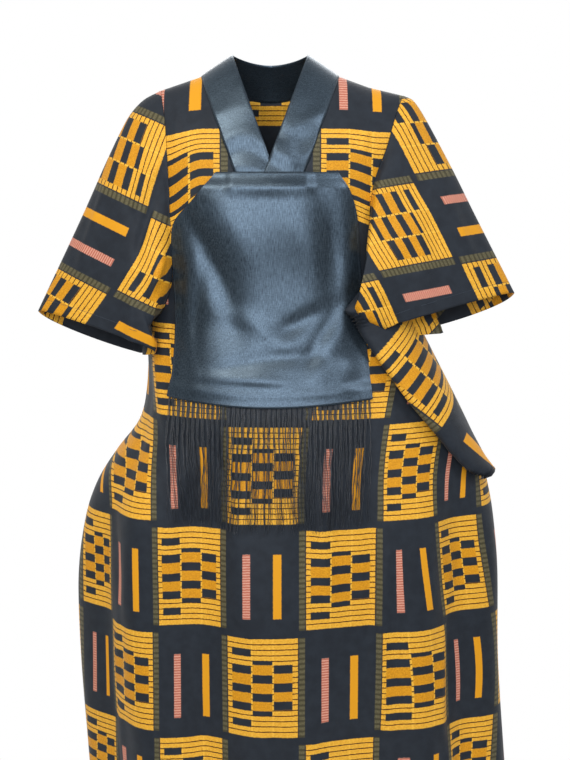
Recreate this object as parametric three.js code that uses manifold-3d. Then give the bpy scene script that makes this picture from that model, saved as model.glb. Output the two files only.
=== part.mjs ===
// Full-length kaftan of printed cotton, with set-in flared sleeves, a satin neck band that crosses
// in a V, a satin bib sewn on the chest and a threaded fringe along the bib's lower edge.
// Millimetres, +Z up. The origin is the middle of the neck opening, level with the neck ends of
// the shoulder seams. The front faces -Y; "right" and "left" are the wearer's, so left is +X.
// It is worn: every piece is a thin wall, hollow inside, open at neck, cuffs and hem.
import * as THREE from 'three';
import { mergeVertices } from 'three/addons/utils/BufferGeometryUtils.js';
import Module from 'manifold-3d';

// Driving dimensions
const COTTON = 2;            // wall of the printed cloth
const SATIN = 1.6;           // wall of the bands, the bib and the fringe's header
const SEAM = 0.3;            // gap between pieces that are sewn edge to edge
const LAY = 0.8;             // gap under a piece that lies on another
const LAYER = SATIN + LAY;   // how far one more layer lifts what lies over it

const HEM = -1430;           // height of the hem
const UNDERARM = { right: -440, left: -412 };
const ROUNDING = 120;        // drop below the shoulder seam over which the chest rounds out

const NECK_HALF = 61;        // from the middle to the neck end of a shoulder seam
const V_DEPTH = 164;         // drop of the crossing of the two front bands
const BAND = 60;             // width of the neck band
const NECK_CUT = -200;       // straight foot of the neck opening, under the bib
const BACK_NECK = 12;        // drop of the back neck

const BIB = { top: -187, bottom: -545, sag: 12 };
const HEADER = { height: 8, under: 3 };   // the fringe's header tape and how far the bib laps below it
const STRANDS = 96;
const STRAND = { length: 196, radius: 0.85, off: 5.2 };

// Shoulder seam: height over the distance from the middle
const SHOULDER = {
  right: [{ x: 0, z: 36 }, { x: 61, z: 0 }, { x: 112, z: -34 }, { x: 178, z: -56 }],
  left: [{ x: 0, z: 36 }, { x: 61, z: 0 }, { x: 112, z: -34 }, { x: 160, z: -51 }, { x: 216, z: -64 }],
};

// Level sections of the body: half width to each side seam, depth of front and back, squareness
const SECTIONS = [
  { z: 40, right: 215, left: 252, front: 58, back: 62, power: 2.4 },
  { z: -60, right: 213, left: 250, front: 76, back: 80, power: 2.4 },
  { z: -120, right: 207, left: 238, front: 92, back: 94, power: 2.4 },
  { z: -190, right: 202, left: 216, front: 106, back: 101, power: 2.4 },
  { z: -265, right: 199, left: 206, front: 112, back: 98, power: 2.4 },
  { z: -350, right: 200, left: 212, front: 111, back: 92, power: 2.4 },
  { z: -412, right: 203, left: 236, front: 115, back: 94, power: 2.3 },
  { z: -440, right: 206, left: 250, front: 119, back: 97, power: 2.3 },
  { z: -548, right: 212, left: 306, front: 148, back: 120, power: 2.3 },
  { z: -605, right: 226, left: 334, front: 166, back: 134, power: 2.2 },
  { z: -655, right: 264, left: 356, front: 178, back: 145, power: 2.2 },
  { z: -705, right: 296, left: 372, front: 188, back: 155, power: 2.2 },
  { z: -760, right: 314, left: 382, front: 194, back: 164, power: 2.2 },
  { z: -860, right: 324, left: 389, front: 199, back: 172, power: 2.2 },
  { z: -1010, right: 324, left: 395, front: 202, back: 178, power: 2.2 },
  { z: -1230, right: 314, left: 416, front: 205, back: 186, power: 2.2 },
  { z: HEM, right: 310, left: 433, front: 208, back: 192, power: 2.2 },
];

// Armhole seams on the front and back: distance from the middle; they end on the side seams
const ARMHOLES = {
  right: [
    { z: -56, x: 178 }, { z: -85, x: 172 }, { z: -120, x: 167 }, { z: -215, x: 161 }, { z: -290, x: 158 },
    { z: -360, x: 160 }, { z: -410, x: 176 },
  ],
  left: [
    { z: -64, x: 216 }, { z: -95, x: 203 }, { z: -120, x: 195 }, { z: -152, x: 185 }, { z: -187, x: 171 },
    { z: -218, x: 163 }, { z: -262, x: 159 }, { z: -330, x: 160 }, { z: -380, x: 186 },
  ],
};

// Hanging folds: angle round the body from the front middle towards the wearer's left, half width
// in degrees, height of the ridge, the height where it starts and where it is full, and its drift
// in degrees down to the hem
const FOLDS = [
  { at: -80, wide: 8, high: 12, from: -660, full: -900, drift: 4 },
  { at: -60, wide: 9, high: -12, from: -600, full: -820, drift: 6 },
  { at: -42, wide: 10, high: 15, from: -560, full: -760, drift: 8 },
  { at: -22, wide: 9, high: -16, from: -560, full: -740, drift: 10 },
  { at: -4, wide: 10, high: 9, from: -640, full: -900, drift: 8 },
  { at: 18, wide: 10, high: -8, from: -640, full: -960, drift: 4 },
  { at: 36, wide: 9, high: 11, from: -640, full: -880, drift: 2 },
  { at: 52, wide: 8, high: -14, from: -600, full: -800, drift: 0 },
  { at: 70, wide: 9, high: 14, from: -640, full: -860, drift: -2 },
  { at: 98, wide: 10, high: -14, from: -560, full: -860, drift: -3 },
  { at: 117, wide: 10, high: 17, from: -420, full: -840, drift: -4 },
  { at: 138, wide: 9, high: -15, from: -300, full: -700, drift: 2 },
  { at: 156, wide: 10, high: 15, from: -260, full: -700, drift: 4 },
  { at: 177, wide: 10, high: -13, from: -220, full: -760, drift: 0 },
  { at: 198, wide: 10, high: 16, from: -280, full: -700, drift: -4 },
  { at: 218, wide: 9, high: -15, from: -320, full: -760, drift: -3 },
  { at: 237, wide: 9, high: 15, from: -420, full: -820, drift: 2 },
  { at: 256, wide: 9, high: -13, from: -600, full: -880, drift: 4 },
];

// The large fold that falls from the left armhole over the edge of the bib and dies out at the hip
const SIDE_FOLD = {
  from: { x: 170, z: -404 }, to: { x: 290, z: -612 },
  rise: 34, fall: 105, high: 32,
};

// Sleeves from the armhole (at 0) to the cuff (at 1): top fold line, underarm seam, fullness of
// front and back; x is measured outwards
const SLEEVES = {
  right: [
    { at: 0, topX: 178, topY: 0, topZ: -56, lowX: 206, lowY: 0, lowZ: -440, front: 74, back: 72 },
    { at: 0.12, topX: 210, topY: -2, topZ: -73, lowX: 206, lowY: -40, lowZ: -442, front: 68, back: 70 },
    { at: 0.24, topX: 238, topY: -4, topZ: -108, lowX: 196, lowY: -64, lowZ: -446, front: 58, back: 70 },
    { at: 0.6, topX: 312, topY: -12, topZ: -262, lowX: 184, lowY: -88, lowZ: -460, front: 40, back: 66 },
    { at: 1, topX: 388, topY: -22, topZ: -416, lowX: 186, lowY: -94, lowZ: -474, front: 24, back: 58 },
  ],
  left: [
    { at: 0, topX: 216, topY: 0, topZ: -64, lowX: 236, lowY: 0, lowZ: -412, front: 80, back: 70 },
    { at: 0.1, topX: 241, topY: -2, topZ: -71, lowX: 206, lowY: -60, lowZ: -404, front: 72, back: 70 },
    { at: 0.3, topX: 288, topY: -8, topZ: -162, lowX: 140, lowY: -114, lowZ: -394, front: 46, back: 72 },
    { at: 0.6, topX: 338, topY: -14, topZ: -258, lowX: 158, lowY: -124, lowZ: -408, front: 34, back: 74 },
    { at: 1, topX: 406, topY: -22, topZ: -386, lowX: 204, lowY: -120, lowZ: -426, front: 20, back: 70 },
  ],
};
const ARMHOLE_GAP = 0.45;     // gap of a sleeve's edge from the panels'
const CLEAR = 9;             // least gap that a sleeve keeps beside and over the body
const BACK_CLEAR = 16;       // how much more the back of a sleeve keeps
// How far a sleeve turns away from the seam and out from the body just past it; the left one folds
// back over the edge of the front there
const SEAM_ROLL = { away: 3, plain: 1, folded: 5 };
const CUFF_TILT = 0.42;      // drop of the back of a cuff below its front, per depth

// Bib outline: half widths at heights down from its top edge
const BIB_SIDES = [
  { z: -187, right: 84, left: 108 }, { z: -222, right: 110, left: 128 }, { z: -262, right: 143, left: 139 },
  { z: -300, right: 148, left: 142 }, { z: -430, right: 148, left: 152 }, { z: -500, right: 157, left: 159 },
  { z: -560, right: 167, left: 164 },
];

// Grid sizes
const CENTRE_COLUMNS = 3;     // from the middle to the foot of the neck opening
const NECK_COLUMNS = 8;       // along the neck opening
const SHOULDER_COLUMNS = { right: 7, left: 14 };
const BACK_COLUMNS = 12;      // from the middle of the back to an armhole
const UPPER_ROWS = 12;
const LOWER_ROWS = 16;
// Rings of a sleeve past its seam, as shares of its length
const SLEEVE_RINGS = [0.03, 0.065, 0.11, 0.19, 0.29, 0.41, 0.55, 0.7, 0.85, 1];

const { abs, sin, cos, asin, sqrt, max, min, sign, PI } = Math;
const mix = (a, b, t) => a + (b - a) * t;
const clamp01 = (t) => max(0, min(1, t));
const ease = (t) => clamp01(t) ** 2 * (3 - 2 * clamp01(t));
const easeInverse = (value) => 0.5 - sin(asin(1 - 2 * value) / 3);
const radians = (degrees) => (degrees * PI) / 180;

// A column of a table at a value of its key column, on a smooth curve through the rows
function tableAt(rows, key, value, column) {
  const rising = rows[1][key] > rows[0][key] ? 1 : -1;
  const past = (row) => (row[key] - value) * rising > 0;
  const found = rows.findIndex(past);
  const next = found === -1 ? rows.length - 1 : max(1, found);
  const a = rows[next - 1];
  const b = rows[next];
  const span = b[key] - a[key];
  const t = clamp01((value - a[key]) / span);
  const before = rows[max(0, next - 2)];
  const after = rows[min(rows.length - 1, next + 1)];
  const slopeA = ((b[column] - before[column]) / (b[key] - before[key])) * span;
  const slopeB = ((after[column] - a[column]) / (after[key] - a[key])) * span;
  const bend = (1 - t) ** 2 * t * slopeA - t * t * (1 - t) * slopeB;
  return mix(a[column], b[column], ease(t)) + bend;
}

// Straight-line reading of a table
function lineAt(rows, key, value, column) {
  const found = rows.findIndex((row) => (row[key] - value) * (rows[1][key] - rows[0][key]) > 0);
  const next = found === -1 ? rows.length - 1 : max(1, found);
  const a = rows[next - 1];
  const b = rows[next];
  return mix(a[column], b[column], (value - a[key]) / (b[key] - a[key]));
}

const sideOf = (x) => (x < 0 ? 'right' : 'left');
const halfWidth = (side, z) => tableAt(SECTIONS, 'z', z, side);
const shoulderZ = (x) => lineAt(SHOULDER[sideOf(x)], 'x', abs(x), 'z');

// Distance of an armhole seam from the middle; at the underarm it meets the side seam
function armholeX(side, z) {
  const underarm = UNDERARM[side];
  const rows = [...ARMHOLES[side], { z: underarm, x: halfWidth(side, underarm) }];
  return tableAt(rows, 'z', z, 'x');
}

// Height of the hanging folds at an angle round the body
function foldHeight(angle, z) {
  let height = 0;
  for (const fold of FOLDS) {
    const grown = ease((fold.from - z) / (fold.from - fold.full));
    const centre = fold.at + fold.drift * clamp01((fold.from - z) / (fold.from - HEM));
    let off = (angle - centre) / fold.wide;
    off -= (360 / fold.wide) * Math.round((angle - centre) / 360);
    height += fold.high * grown * Math.exp(-off * off);
  }
  return height;
}

// Height of the large side fold of the front: a steep face on its lower side, a long fall above it
function sideFoldHeight(x, z) {
  const { from, to, rise, fall, high } = SIDE_FOLD;
  const length = Math.hypot(to.x - from.x, to.z - from.z);
  const along = { x: (to.x - from.x) / length, z: (to.z - from.z) / length };
  const down = ((x - from.x) * along.x + (z - from.z) * along.z) / length;
  const across = (x - from.x) * -along.z + (z - from.z) * along.x;
  const profile = across < rise ? ease(across / rise) : 1 - ease((across - rise) / fall);
  const ends = ease((down + 0.04) / 0.26) * (1 - ease((down - 0.62) / 0.55));
  return high * profile * ends;
}

// A point on the outer face of the body at an angle round it: 0 is the middle of the front, 90 the
// left side seam and 180 the middle of the back
function ringPoint(angle, z) {
  const turned = angle - 360 * Math.round(angle / 360);
  const face = abs(turned) <= 90 ? -1 : 1;
  const toward = turned < 0 ? -1 : 1;
  const quarter = radians(face < 0 ? abs(turned) : 180 - abs(turned));
  const power = tableAt(SECTIONS, 'z', z, 'power');
  const half = halfWidth(toward < 0 ? 'right' : 'left', z);
  const depth = tableAt(SECTIONS, 'z', z, face < 0 ? 'front' : 'back');
  const along = max(0, sin(quarter));
  const ahead = max(0, cos(quarter));
  const x = toward * half * along ** (2 / power);
  const drop = max(0, shoulderZ(x) - z);
  const rounding = drop < ROUNDING ? sqrt(1 - (1 - drop / ROUNDING) ** 2) : 1;
  const y = face * depth * ahead ** (2 / power) * rounding;
  const outX = along ** (2 - 2 / power) / half;
  const outY = ahead ** (2 - 2 / power) / depth;
  const side = face < 0 && x > 0 ? sideFoldHeight(x, z) : 0;
  const lift = ((foldHeight(turned, z) + side) * rounding) / Math.hypot(outX, outY);
  return new THREE.Vector3(x + toward * lift * outX, y + face * lift * outY, z);
}

// Outward normal of the body at an angle and height
function ringNormal(angle, z) {
  const step = 0.05;
  const across = ringPoint(angle + step, z).sub(ringPoint(angle - step, z));
  const up = ringPoint(angle, z + step).sub(ringPoint(angle, z - step));
  return across.cross(up).normalize();
}

// Angle round the body at a distance from its middle, on the front (-1) or the back (1)
function angleAt(face, x, z) {
  const power = tableAt(SECTIONS, 'z', z, 'power');
  const quarter = asin(min(1, abs(x) / halfWidth(sideOf(x), z)) ** (power / 2));
  const degrees = (quarter * 180) / PI;
  return face < 0 ? sign(x) * degrees : 180 - sign(x) * degrees;
}

// A point that lies a given way out from the face
function layPoint(face, x, z, out) {
  const angle = angleAt(face, x, z);
  return ringPoint(angle, z).addScaledVector(ringNormal(angle, z), out);
}

// Top edge of a panel at a column: 0 is the middle, 1 the armhole; a quarter and a half are the
// foot of the neck opening and the shoulder end of the neck band
function topEdge(face, side, column) {
  const toward = side === 'right' ? -1 : 1;
  const arm = ARMHOLES[side][0];
  const neck = bandOuter(0).x;
  const start = neck + SEAM * 1.5;
  if (column >= 0.5) {
    const x = mix(start, arm.x, (column - 0.5) * 2);
    return { x, z: shoulderZ(toward * x) };
  }
  if (face > 0) {
    const across = sin(column * PI);
    return { x: start * across, z: backNeckZ(across, 1) - SEAM };
  }
  const edge = bandOuter(neckRun(2 - column * 4));
  const x = edge.x + SEAM * 1.5;
  return { x: column < 0.25 ? x * column * 4 : x, z: edge.z - SEAM };
}

// Stations down the neck opening, closer together where the chest rounds over the shoulder
const neckRun = (t) => clamp01(t) ** 1.5;

// Outer edge of a front band: 0 at the shoulder seam, 1 at the foot of the neck opening
function bandOuter(t) {
  const lean = NECK_HALF / V_DEPTH;
  const wide = BAND * sqrt(1 + lean * lean);
  const shoulder = { x: 112, z: -34 };
  const foot = { x: NECK_HALF + wide + lean * NECK_CUT, z: NECK_CUT };
  return { x: mix(shoulder.x, foot.x, t), z: mix(shoulder.z, foot.z, t) };
}

// Height of the back neck band's edges; across is -1..1 and edge is 0 inside, 1 outside
function backNeckZ(across, edge) {
  const round = 1 - across * across;
  return mix(-BACK_NECK * round, -34 - 38 * round, edge);
}

// Place of a point of the body grid, as an angle and a height: column -1..1 from armhole to
// armhole, row 0..1 down to the underarm and 1..2 on to the hem
function panelPlace(face, column, row) {
  const side = sideOf(column);
  const toward = column < 0 ? -1 : 1;
  const part = abs(column);
  const level = mix(UNDERARM.right, UNDERARM.left, (column + 1) / 2);
  if (row >= 1) {
    const angle = face < 0 ? 90 * column : 180 - 90 * column;
    return { angle, z: mix(level, HEM, (row - 1) ** 1.15) };
  }
  const top = topEdge(face, side, part);
  const crown = shoulderZ(toward * top.x);
  const whole = crown - level;
  const start = easeInverse((crown - top.z) / whole);
  const z = crown - whole * ease(mix(start, 1, row));
  const power = tableAt(SECTIONS, 'z', z, 'power');
  const above = top.x / armholeX(side, top.z);
  const below = sin((part * PI) / 2) ** (2 / power);
  const x = toward * armholeX(side, z) * mix(above, below, ease(row));
  return { angle: angleAt(face, x, z), z };
}

function evenSteps(from, to, count) {
  return Array.from({ length: count + 1 }, (unused, i) => mix(from, to, i / count));
}

// Columns of the front, closer together along the neck opening
function frontColumns() {
  const half = (side) => [
    ...evenSteps(0, 0.25, CENTRE_COLUMNS),
    ...evenSteps(0.25, 0.5, NECK_COLUMNS).slice(1),
    ...evenSteps(0.5, 1, SHOULDER_COLUMNS[side]).slice(1),
  ];
  return [...half('right').slice(1).reverse().map((column) => -column), ...half('left')];
}

// A panel: outer face, and the inner face one wall behind it along shared normals
function panelGrids(face) {
  const columns = face < 0 ? frontColumns() : evenSteps(-1, 1, 2 * BACK_COLUMNS);
  const rows = [];
  for (let j = 0; j <= UPPER_ROWS; j += 1) rows.push(j / UPPER_ROWS);
  for (let j = 1; j <= LOWER_ROWS; j += 1) rows.push(1 + j / LOWER_ROWS);
  const places = rows.map((row) => columns.map((column) => panelPlace(face, column, row)));
  const outer = places.map((line) => line.map((place) => ringPoint(place.angle, place.z)));
  const normals = places.map((line) => line.map((place) => ringNormal(place.angle, place.z)));
  normals[0].forEach((normal, i) => squareToShoulder(normal, columns[i]));
  const inner = outer.map((line, j) => line.map((point, i) => {
    return point.clone().addScaledVector(normals[j][i], -COTTON);
  }));
  partAtSeams(face, columns, rows, outer, inner);
  return { outer, inner, normals };
}

// On a shoulder seam the wall stands square to the seam
function squareToShoulder(normal, column) {
  if (abs(column) < 0.5) return;
  normal.y = 0;
  normal.normalize();
}

// Half a seam gap on each side of the shoulder and side seams
function partAtSeams(face, columns, rows, outer, inner) {
  for (const grid of [outer, inner]) {
    grid.forEach((line, j) => line.forEach((point, i) => {
      const onShoulder = j === 0 && abs(columns[i]) >= 0.5;
      const onSide = rows[j] >= 1 && abs(columns[i]) === 1;
      if (onShoulder || onSide) point.y += (face * SEAM) / 2;
    }));
  }
}

// Normals of a tube's rings of points, along each ring crossed with down the tube
function ringNormals(rings) {
  const count = rings[0].length;
  return rings.map((ring, k) => ring.map((point, i) => {
    const along = ring[(i + 1) % count].clone().sub(ring[(i + count - 1) % count]);
    const down = rings[min(rings.length - 1, k + 1)][i].clone().sub(rings[max(0, k - 1)][i]);
    return along.cross(down).normalize();
  }));
}

// A closed mesh from an outer and an inner grid, with rims along the open edges
function wallGeometry(outer, inner, closed) {
  const rows = outer.length;
  const count = outer[0].length;
  const points = [...outer.flat(), ...inner.flat()];
  const at = (layer, j, i) => layer * rows * count + j * count + (i % count);
  const faces = [];
  const quad = (a, b, c, d) => faces.push([a, b, c], [a, c, d]);
  const spans = closed ? count : count - 1;
  for (let j = 0; j < rows - 1; j += 1) {
    for (let i = 0; i < spans; i += 1) {
      const falling = outer[j][i].distanceTo(outer[j + 1][(i + 1) % count]);
      const rising = outer[j + 1][i].distanceTo(outer[j][(i + 1) % count]);
      const corners = [[j, i], [j + 1, i], [j + 1, i + 1], [j, i + 1]];
      if (rising < falling) corners.push(corners.shift());
      quad(...corners.map(([row, column]) => at(0, row, column)));
      const [a, b, c, d] = corners.map(([row, column]) => at(1, row, column));
      faces.push([a, c, b], [a, d, c]);
    }
    if (!closed) {
      quad(at(0, j, 0), at(1, j, 0), at(1, j + 1, 0), at(0, j + 1, 0));
      const end = count - 1;
      quad(at(0, j, end), at(0, j + 1, end), at(1, j + 1, end), at(1, j, end));
    }
  }
  for (let i = 0; i < spans; i += 1) {
    const last = rows - 1;
    quad(at(0, 0, i), at(0, 0, i + 1), at(1, 0, i + 1), at(1, 0, i));
    quad(at(0, last, i), at(1, last, i), at(1, last, i + 1), at(0, last, i + 1));
  }
  return facingOut(points, faces);
}

// A geometry of points and triangles, turned inside out if its volume comes out negative
function facingOut(points, faces) {
  let volume = 0;
  for (const [a, b, c] of faces) volume += points[a].dot(points[b].clone().cross(points[c]));
  const index = faces.flatMap(([a, b, c]) => (volume < 0 ? [a, c, b] : [a, b, c]));
  const geometry = new THREE.BufferGeometry();
  const positions = points.flatMap((point) => point.toArray());
  geometry.setAttribute('position', new THREE.Float32BufferAttribute(positions, 3));
  geometry.setIndex(index);
  return geometry;
}

// The armhole as one loop: down the front, up the back, with the wall's outer and inner edges
function armholeLoop(side, front, back) {
  const edge = (panel, j) => {
    const i = side === 'right' ? 0 : panel.outer[0].length - 1;
    return { outer: panel.outer[j][i], inner: panel.inner[j][i], normal: panel.normals[j][i] };
  };
  const between = (a, b) => ({
    outer: a.outer.clone().lerp(b.outer, 0.5),
    inner: a.inner.clone().lerp(b.inner, 0.5),
    normal: a.normal.clone().add(b.normal).normalize(),
  });
  const loop = [between(edge(front, 0), edge(back, 0))];
  for (let j = 1; j < UPPER_ROWS; j += 1) loop.push(edge(front, j));
  loop.push(between(edge(front, UPPER_ROWS), edge(back, UPPER_ROWS)));
  for (let j = UPPER_ROWS - 1; j > 0; j -= 1) loop.push(edge(back, j));
  return loop;
}

// Share of the way round a sleeve section at each point of the armhole loop, 0.5 at the underarm
function loopShares(loop) {
  const steps = loop.map((item, k) => item.outer.distanceTo(loop[(k + 1) % loop.length].outer));
  const sum = (list) => list.reduce((total, step) => total + step, 0);
  const down = sum(steps.slice(0, UPPER_ROWS));
  const up = sum(steps.slice(UPPER_ROWS));
  return loop.map((item, k) => {
    if (k <= UPPER_ROWS) return (0.5 * sum(steps.slice(0, k))) / down;
    return 0.5 + (0.5 * sum(steps.slice(UPPER_ROWS, k))) / up;
  });
}

// A point of a sleeve's free section: t along the sleeve, share round it from the top by the front
function sleeveSection(side, t, share) {
  const toward = side === 'right' ? -1 : 1;
  const value = (column) => tableAt(SLEEVES[side], 'at', t, column);
  const round = 2 * PI * share;
  const ahead = sin(round) >= 0;
  const full = (ahead ? value('front') : value('back')) * sign(sin(round)) * abs(sin(round)) ** 0.85;
  const down = (1 - cos(round)) / 2;
  const x = mix(value('topX'), value('lowX'), down);
  const y = mix(value('topY'), value('lowY'), down) - full;
  const z = mix(value('topZ'), value('lowZ'), down) + CUFF_TILT * full * t;
  return new THREE.Vector3(toward * x, y, z);
}

// Moves a point straight out from the body's middle line until it is a gap away from the body
function keepClear(point, gap) {
  const face = point.y < 0 ? 'front' : 'back';
  const power = tableAt(SECTIONS, 'z', point.z, 'power');
  const acrossShare = abs(point.x) / halfWidth(sideOf(point.x), point.z);
  const depthShare = abs(point.y) / tableAt(SECTIONS, 'z', point.z, face);
  const quarter = Math.atan2(acrossShare ** (power / 2), depthShare ** (power / 2));
  const degrees = (quarter * 180) / PI;
  const angle = point.y < 0 ? sign(point.x) * degrees : 180 - sign(point.x) * degrees;
  const body = ringPoint(angle, point.z);
  const least = Math.hypot(body.x, body.y) + gap;
  const grow = max(1, least / Math.hypot(point.x, point.y));
  point.x *= grow;
  point.y *= grow;
}

// A sleeve: from the armhole seam it opens into its own sections and ends at the cuff
function sleeveGeometry(side, front, back) {
  const toward = side === 'right' ? 1 : -1;
  const loop = armholeLoop(side, front, back);
  const shares = loopShares(loop);
  const away = loop.map((item, i) => {
    const next = loop[(i + 1) % loop.length].outer;
    const last = loop[(i + loop.length - 1) % loop.length].outer;
    return next.clone().sub(last).cross(item.normal).normalize().multiplyScalar(toward);
  });
  const over = shares.map((share) => {
    return side === 'left' ? ease((share - 0.2) / 0.1) * ease((0.56 - share) / 0.08) : 0;
  });
  const roll = loop.map((item, i) => {
    const edge = item.outer.clone().addScaledVector(away[i], SEAM_ROLL.away);
    return edge.addScaledVector(item.normal, mix(SEAM_ROLL.plain, SEAM_ROLL.folded, over[i]));
  });
  const outer = [loop.map((item) => item.outer.clone()), roll];
  for (const t of SLEEVE_RINGS) {
    const free = ease(t / 0.45);
    outer.push(loop.map((item, i) => {
      const section = sleeveSection(side, t, shares[i]);
      const start = sleeveSection(side, 0, shares[i]);
      const carried = item.outer.clone().add(section.clone().sub(start));
      carried.lerp(section, free);
      const behind = ease((shares[i] - 0.5) / 0.05) * ease((t - 0.2) / 0.3);
      keepClear(carried, CLEAR * mix(ease(t / 0.1), 1, over[i]) + BACK_CLEAR * behind);
      return carried;
    }));
  }
  const normals = ringNormals(outer);
  if (normals[normals.length - 1][0].z < 0) normals.flat().forEach((normal) => normal.negate());
  const inner = outer.map((ring, k) => ring.map((point, i) => {
    return point.clone().addScaledVector(normals[k][i], -COTTON);
  }));
  loop.forEach((item, i) => {
    outer[0][i] = item.outer.clone().addScaledVector(away[i], ARMHOLE_GAP);
    inner[0][i] = item.inner.clone().addScaledVector(away[i], ARMHOLE_GAP);
    const facing = item.normal.clone().lerp(away[i].clone().negate(), over[i]).normalize();
    inner[1][i] = roll[i].clone().addScaledVector(facing, -COTTON);
  });
  return wallGeometry(outer, inner, true);
}

// A flat piece laid on the body: place(i, j) gives x, z and how far its inner face lies out
function laidGeometry(face, columns, rows, wall, place) {
  const layers = [wall, 0].map((thick) => {
    const grid = [];
    for (let j = 0; j <= rows; j += 1) {
      const line = [];
      for (let i = 0; i <= columns; i += 1) {
        const { x, z, out, square } = place(i / columns, j / rows);
        const point = layPoint(face, x, z, out + thick);
        if (square) settleOnShoulder(point, face, x, z, out + thick);
        line.push(point);
      }
      grid.push(line);
    }
    return grid;
  });
  return wallGeometry(layers[0], layers[1], false);
}

// At a shoulder seam the wall stands square to the seam, half a gap from the other side
function settleOnShoulder(point, face, x, z, out) {
  const slope = (shoulderZ(x + sign(x)) - shoulderZ(x)) * sign(x);
  const length = Math.hypot(slope, 1);
  point.set(x - (out * slope) / length, (face * SEAM) / 2, z + out / length);
}

// Front band: from the shoulder seam down to the foot of the opening, where the left one laps
// over the right one
function frontBandGeometry(side) {
  const toward = side === 'right' ? -1 : 1;
  const lean = NECK_HALF / V_DEPTH;
  const inner = (t) => {
    const z = mix(0, NECK_CUT, t);
    return { x: NECK_HALF + lean * z, z };
  };
  return laidGeometry(-1, 5, NECK_COLUMNS, SATIN, (across, down) => {
    const a = inner(neckRun(down));
    const b = bandOuter(neckRun(down));
    const share = across * (1 - SEAM / BAND);
    const x = toward * mix(a.x, b.x, share);
    const square = down === 0;
    const z = square ? shoulderZ(x) : mix(a.z, b.z, share);
    const lapped = side === 'left' ? ease((-105 - z) / 45) * ease((52 - x) / 26) : 0;
    return { x, z, out: -SATIN + LAYER * lapped, square };
  });
}

// Back neck band, from shoulder seam to shoulder seam
function backBandGeometry() {
  return laidGeometry(1, BACK_COLUMNS, 3, SATIN, (along, across) => {
    const turn = sin((along - 0.5) * PI);
    const square = along === 0 || along === 1;
    const x = turn * mix(NECK_HALF, bandOuter(0).x, across);
    const z = square ? shoulderZ(x) : backNeckZ(turn, across);
    return { x, z, out: -SATIN, square };
  });
}

const bibBottom = (x) => BIB.bottom - BIB.sag * cos((x / 165) * (PI / 2));

// Bib: sewn on the front over the ends of the bands and the fringe's header
function bibGeometry() {
  return laidGeometry(-1, 16, 17, SATIN, (across, down) => {
    const level = mix(BIB.top, BIB.bottom, down);
    const right = -tableAt(BIB_SIDES, 'z', level, 'right');
    const share = (1 - cos(across * PI)) / 2;
    const x = mix(right, tableAt(BIB_SIDES, 'z', level, 'left'), share);
    const z = mix(BIB.top, bibBottom(x), down);
    const overBands = ease((z + 232) / 26) * ease((74 - abs(x)) / 18);
    const overHeader = ease((bibBottom(x) + HEADER.height + HEADER.under + 24 - z) / 20);
    return { x, z, out: LAY + LAYER * max(overBands, 1.2 * overHeader) };
  });
}

const setupManifold = async () => {
  const wasm = await Module();
  wasm.setup();
  return wasm;
};
const wasm = await setupManifold();

function solid(geometry) {
  const bare = geometry.clone();
  bare.deleteAttribute('normal');
  bare.deleteAttribute('uv');
  const merged = mergeVertices(bare);
  return new wasm.Manifold(new wasm.Mesh({
    numProp: 3,
    vertProperties: new Float32Array(merged.attributes.position.array),
    triVerts: new Uint32Array(merged.index.array),
  }));
}

function fromSolid(body) {
  const mesh = body.getMesh();
  const geometry = new THREE.BufferGeometry();
  geometry.setAttribute('position', new THREE.BufferAttribute(mesh.vertProperties.slice(), 3));
  geometry.setIndex(new THREE.BufferAttribute(mesh.triVerts.slice(), 1));
  return geometry;
}

// One strand: three-sided, hanging from the header down the front and tapering to its end
function strandGeometry(number) {
  const share = (number + 0.5) / STRANDS;
  const reach = BIB_SIDES[BIB_SIDES.length - 1];
  const rootX = mix(-reach.right + 4, reach.left - 4, share);
  const rootZ = bibBottom(rootX) + HEADER.under + HEADER.height / 2;
  const uneven = sin(number * 2.4) * 5 + sin(number * 0.37) * 7;
  const length = STRAND.length + uneven;
  const steps = 3;
  const rings = [];
  for (let k = 0; k <= steps; k += 1) {
    const t = k / steps;
    const sway = 5 * sin(number * 0.11 + 1.3) * t * t + 1.6 * sin(number * 0.5 + 4 * t) * t;
    const x = rootX * (1 - 0.012 * t) + sway;
    const z = rootZ - length * t;
    const off = mix(LAY + SATIN / 2, STRAND.off + 1.2 * sin(number * 1.7), ease(t * 3));
    const centre = layPoint(-1, x, z, off);
    const radius = STRAND.radius * mix(1, 0.75, t);
    rings.push([0, 1, 2].map((corner) => {
      const turn = radians(30 + 120 * corner);
      return centre.clone().add(new THREE.Vector3(radius * cos(turn), radius * sin(turn), 0));
    }));
  }
  const points = rings.flat();
  const faces = [[0, 1, 2], [3 * steps + 2, 3 * steps + 1, 3 * steps]];
  for (let k = 0; k < steps; k += 1) {
    for (let i = 0; i < 3; i += 1) {
      const a = 3 * k + i;
      const b = 3 * k + ((i + 1) % 3);
      faces.push([a, a + 3, b], [b, a + 3, b + 3]);
    }
  }
  return facingOut(points, faces);
}

// Fringe: a header tape under the bib's lower edge with the strands fused into it
function fringeGeometry() {
  const reach = BIB_SIDES[BIB_SIDES.length - 1];
  const header = laidGeometry(-1, 24, 1, SATIN, (across, down) => {
    const x = mix(-reach.right + 2, reach.left - 2, across);
    const z = bibBottom(x) + HEADER.under + HEADER.height * (1 - down);
    return { x, z, out: LAY };
  });
  const strands = [];
  for (let number = 0; number < STRANDS; number += 1) strands.push(solid(strandGeometry(number)));
  return fromSolid(wasm.Manifold.union([solid(header), ...strands]));
}

// Finishes
const printedCotton = new THREE.MeshStandardMaterial({ color: 0x343a42, roughness: 0.72, metalness: 0 });
const satin = new THREE.MeshStandardMaterial({ color: 0x22262e, roughness: 0.34, metalness: 0 });
const rayon = new THREE.MeshStandardMaterial({ color: 0x14161b, roughness: 0.45, metalness: 0 });

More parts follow.
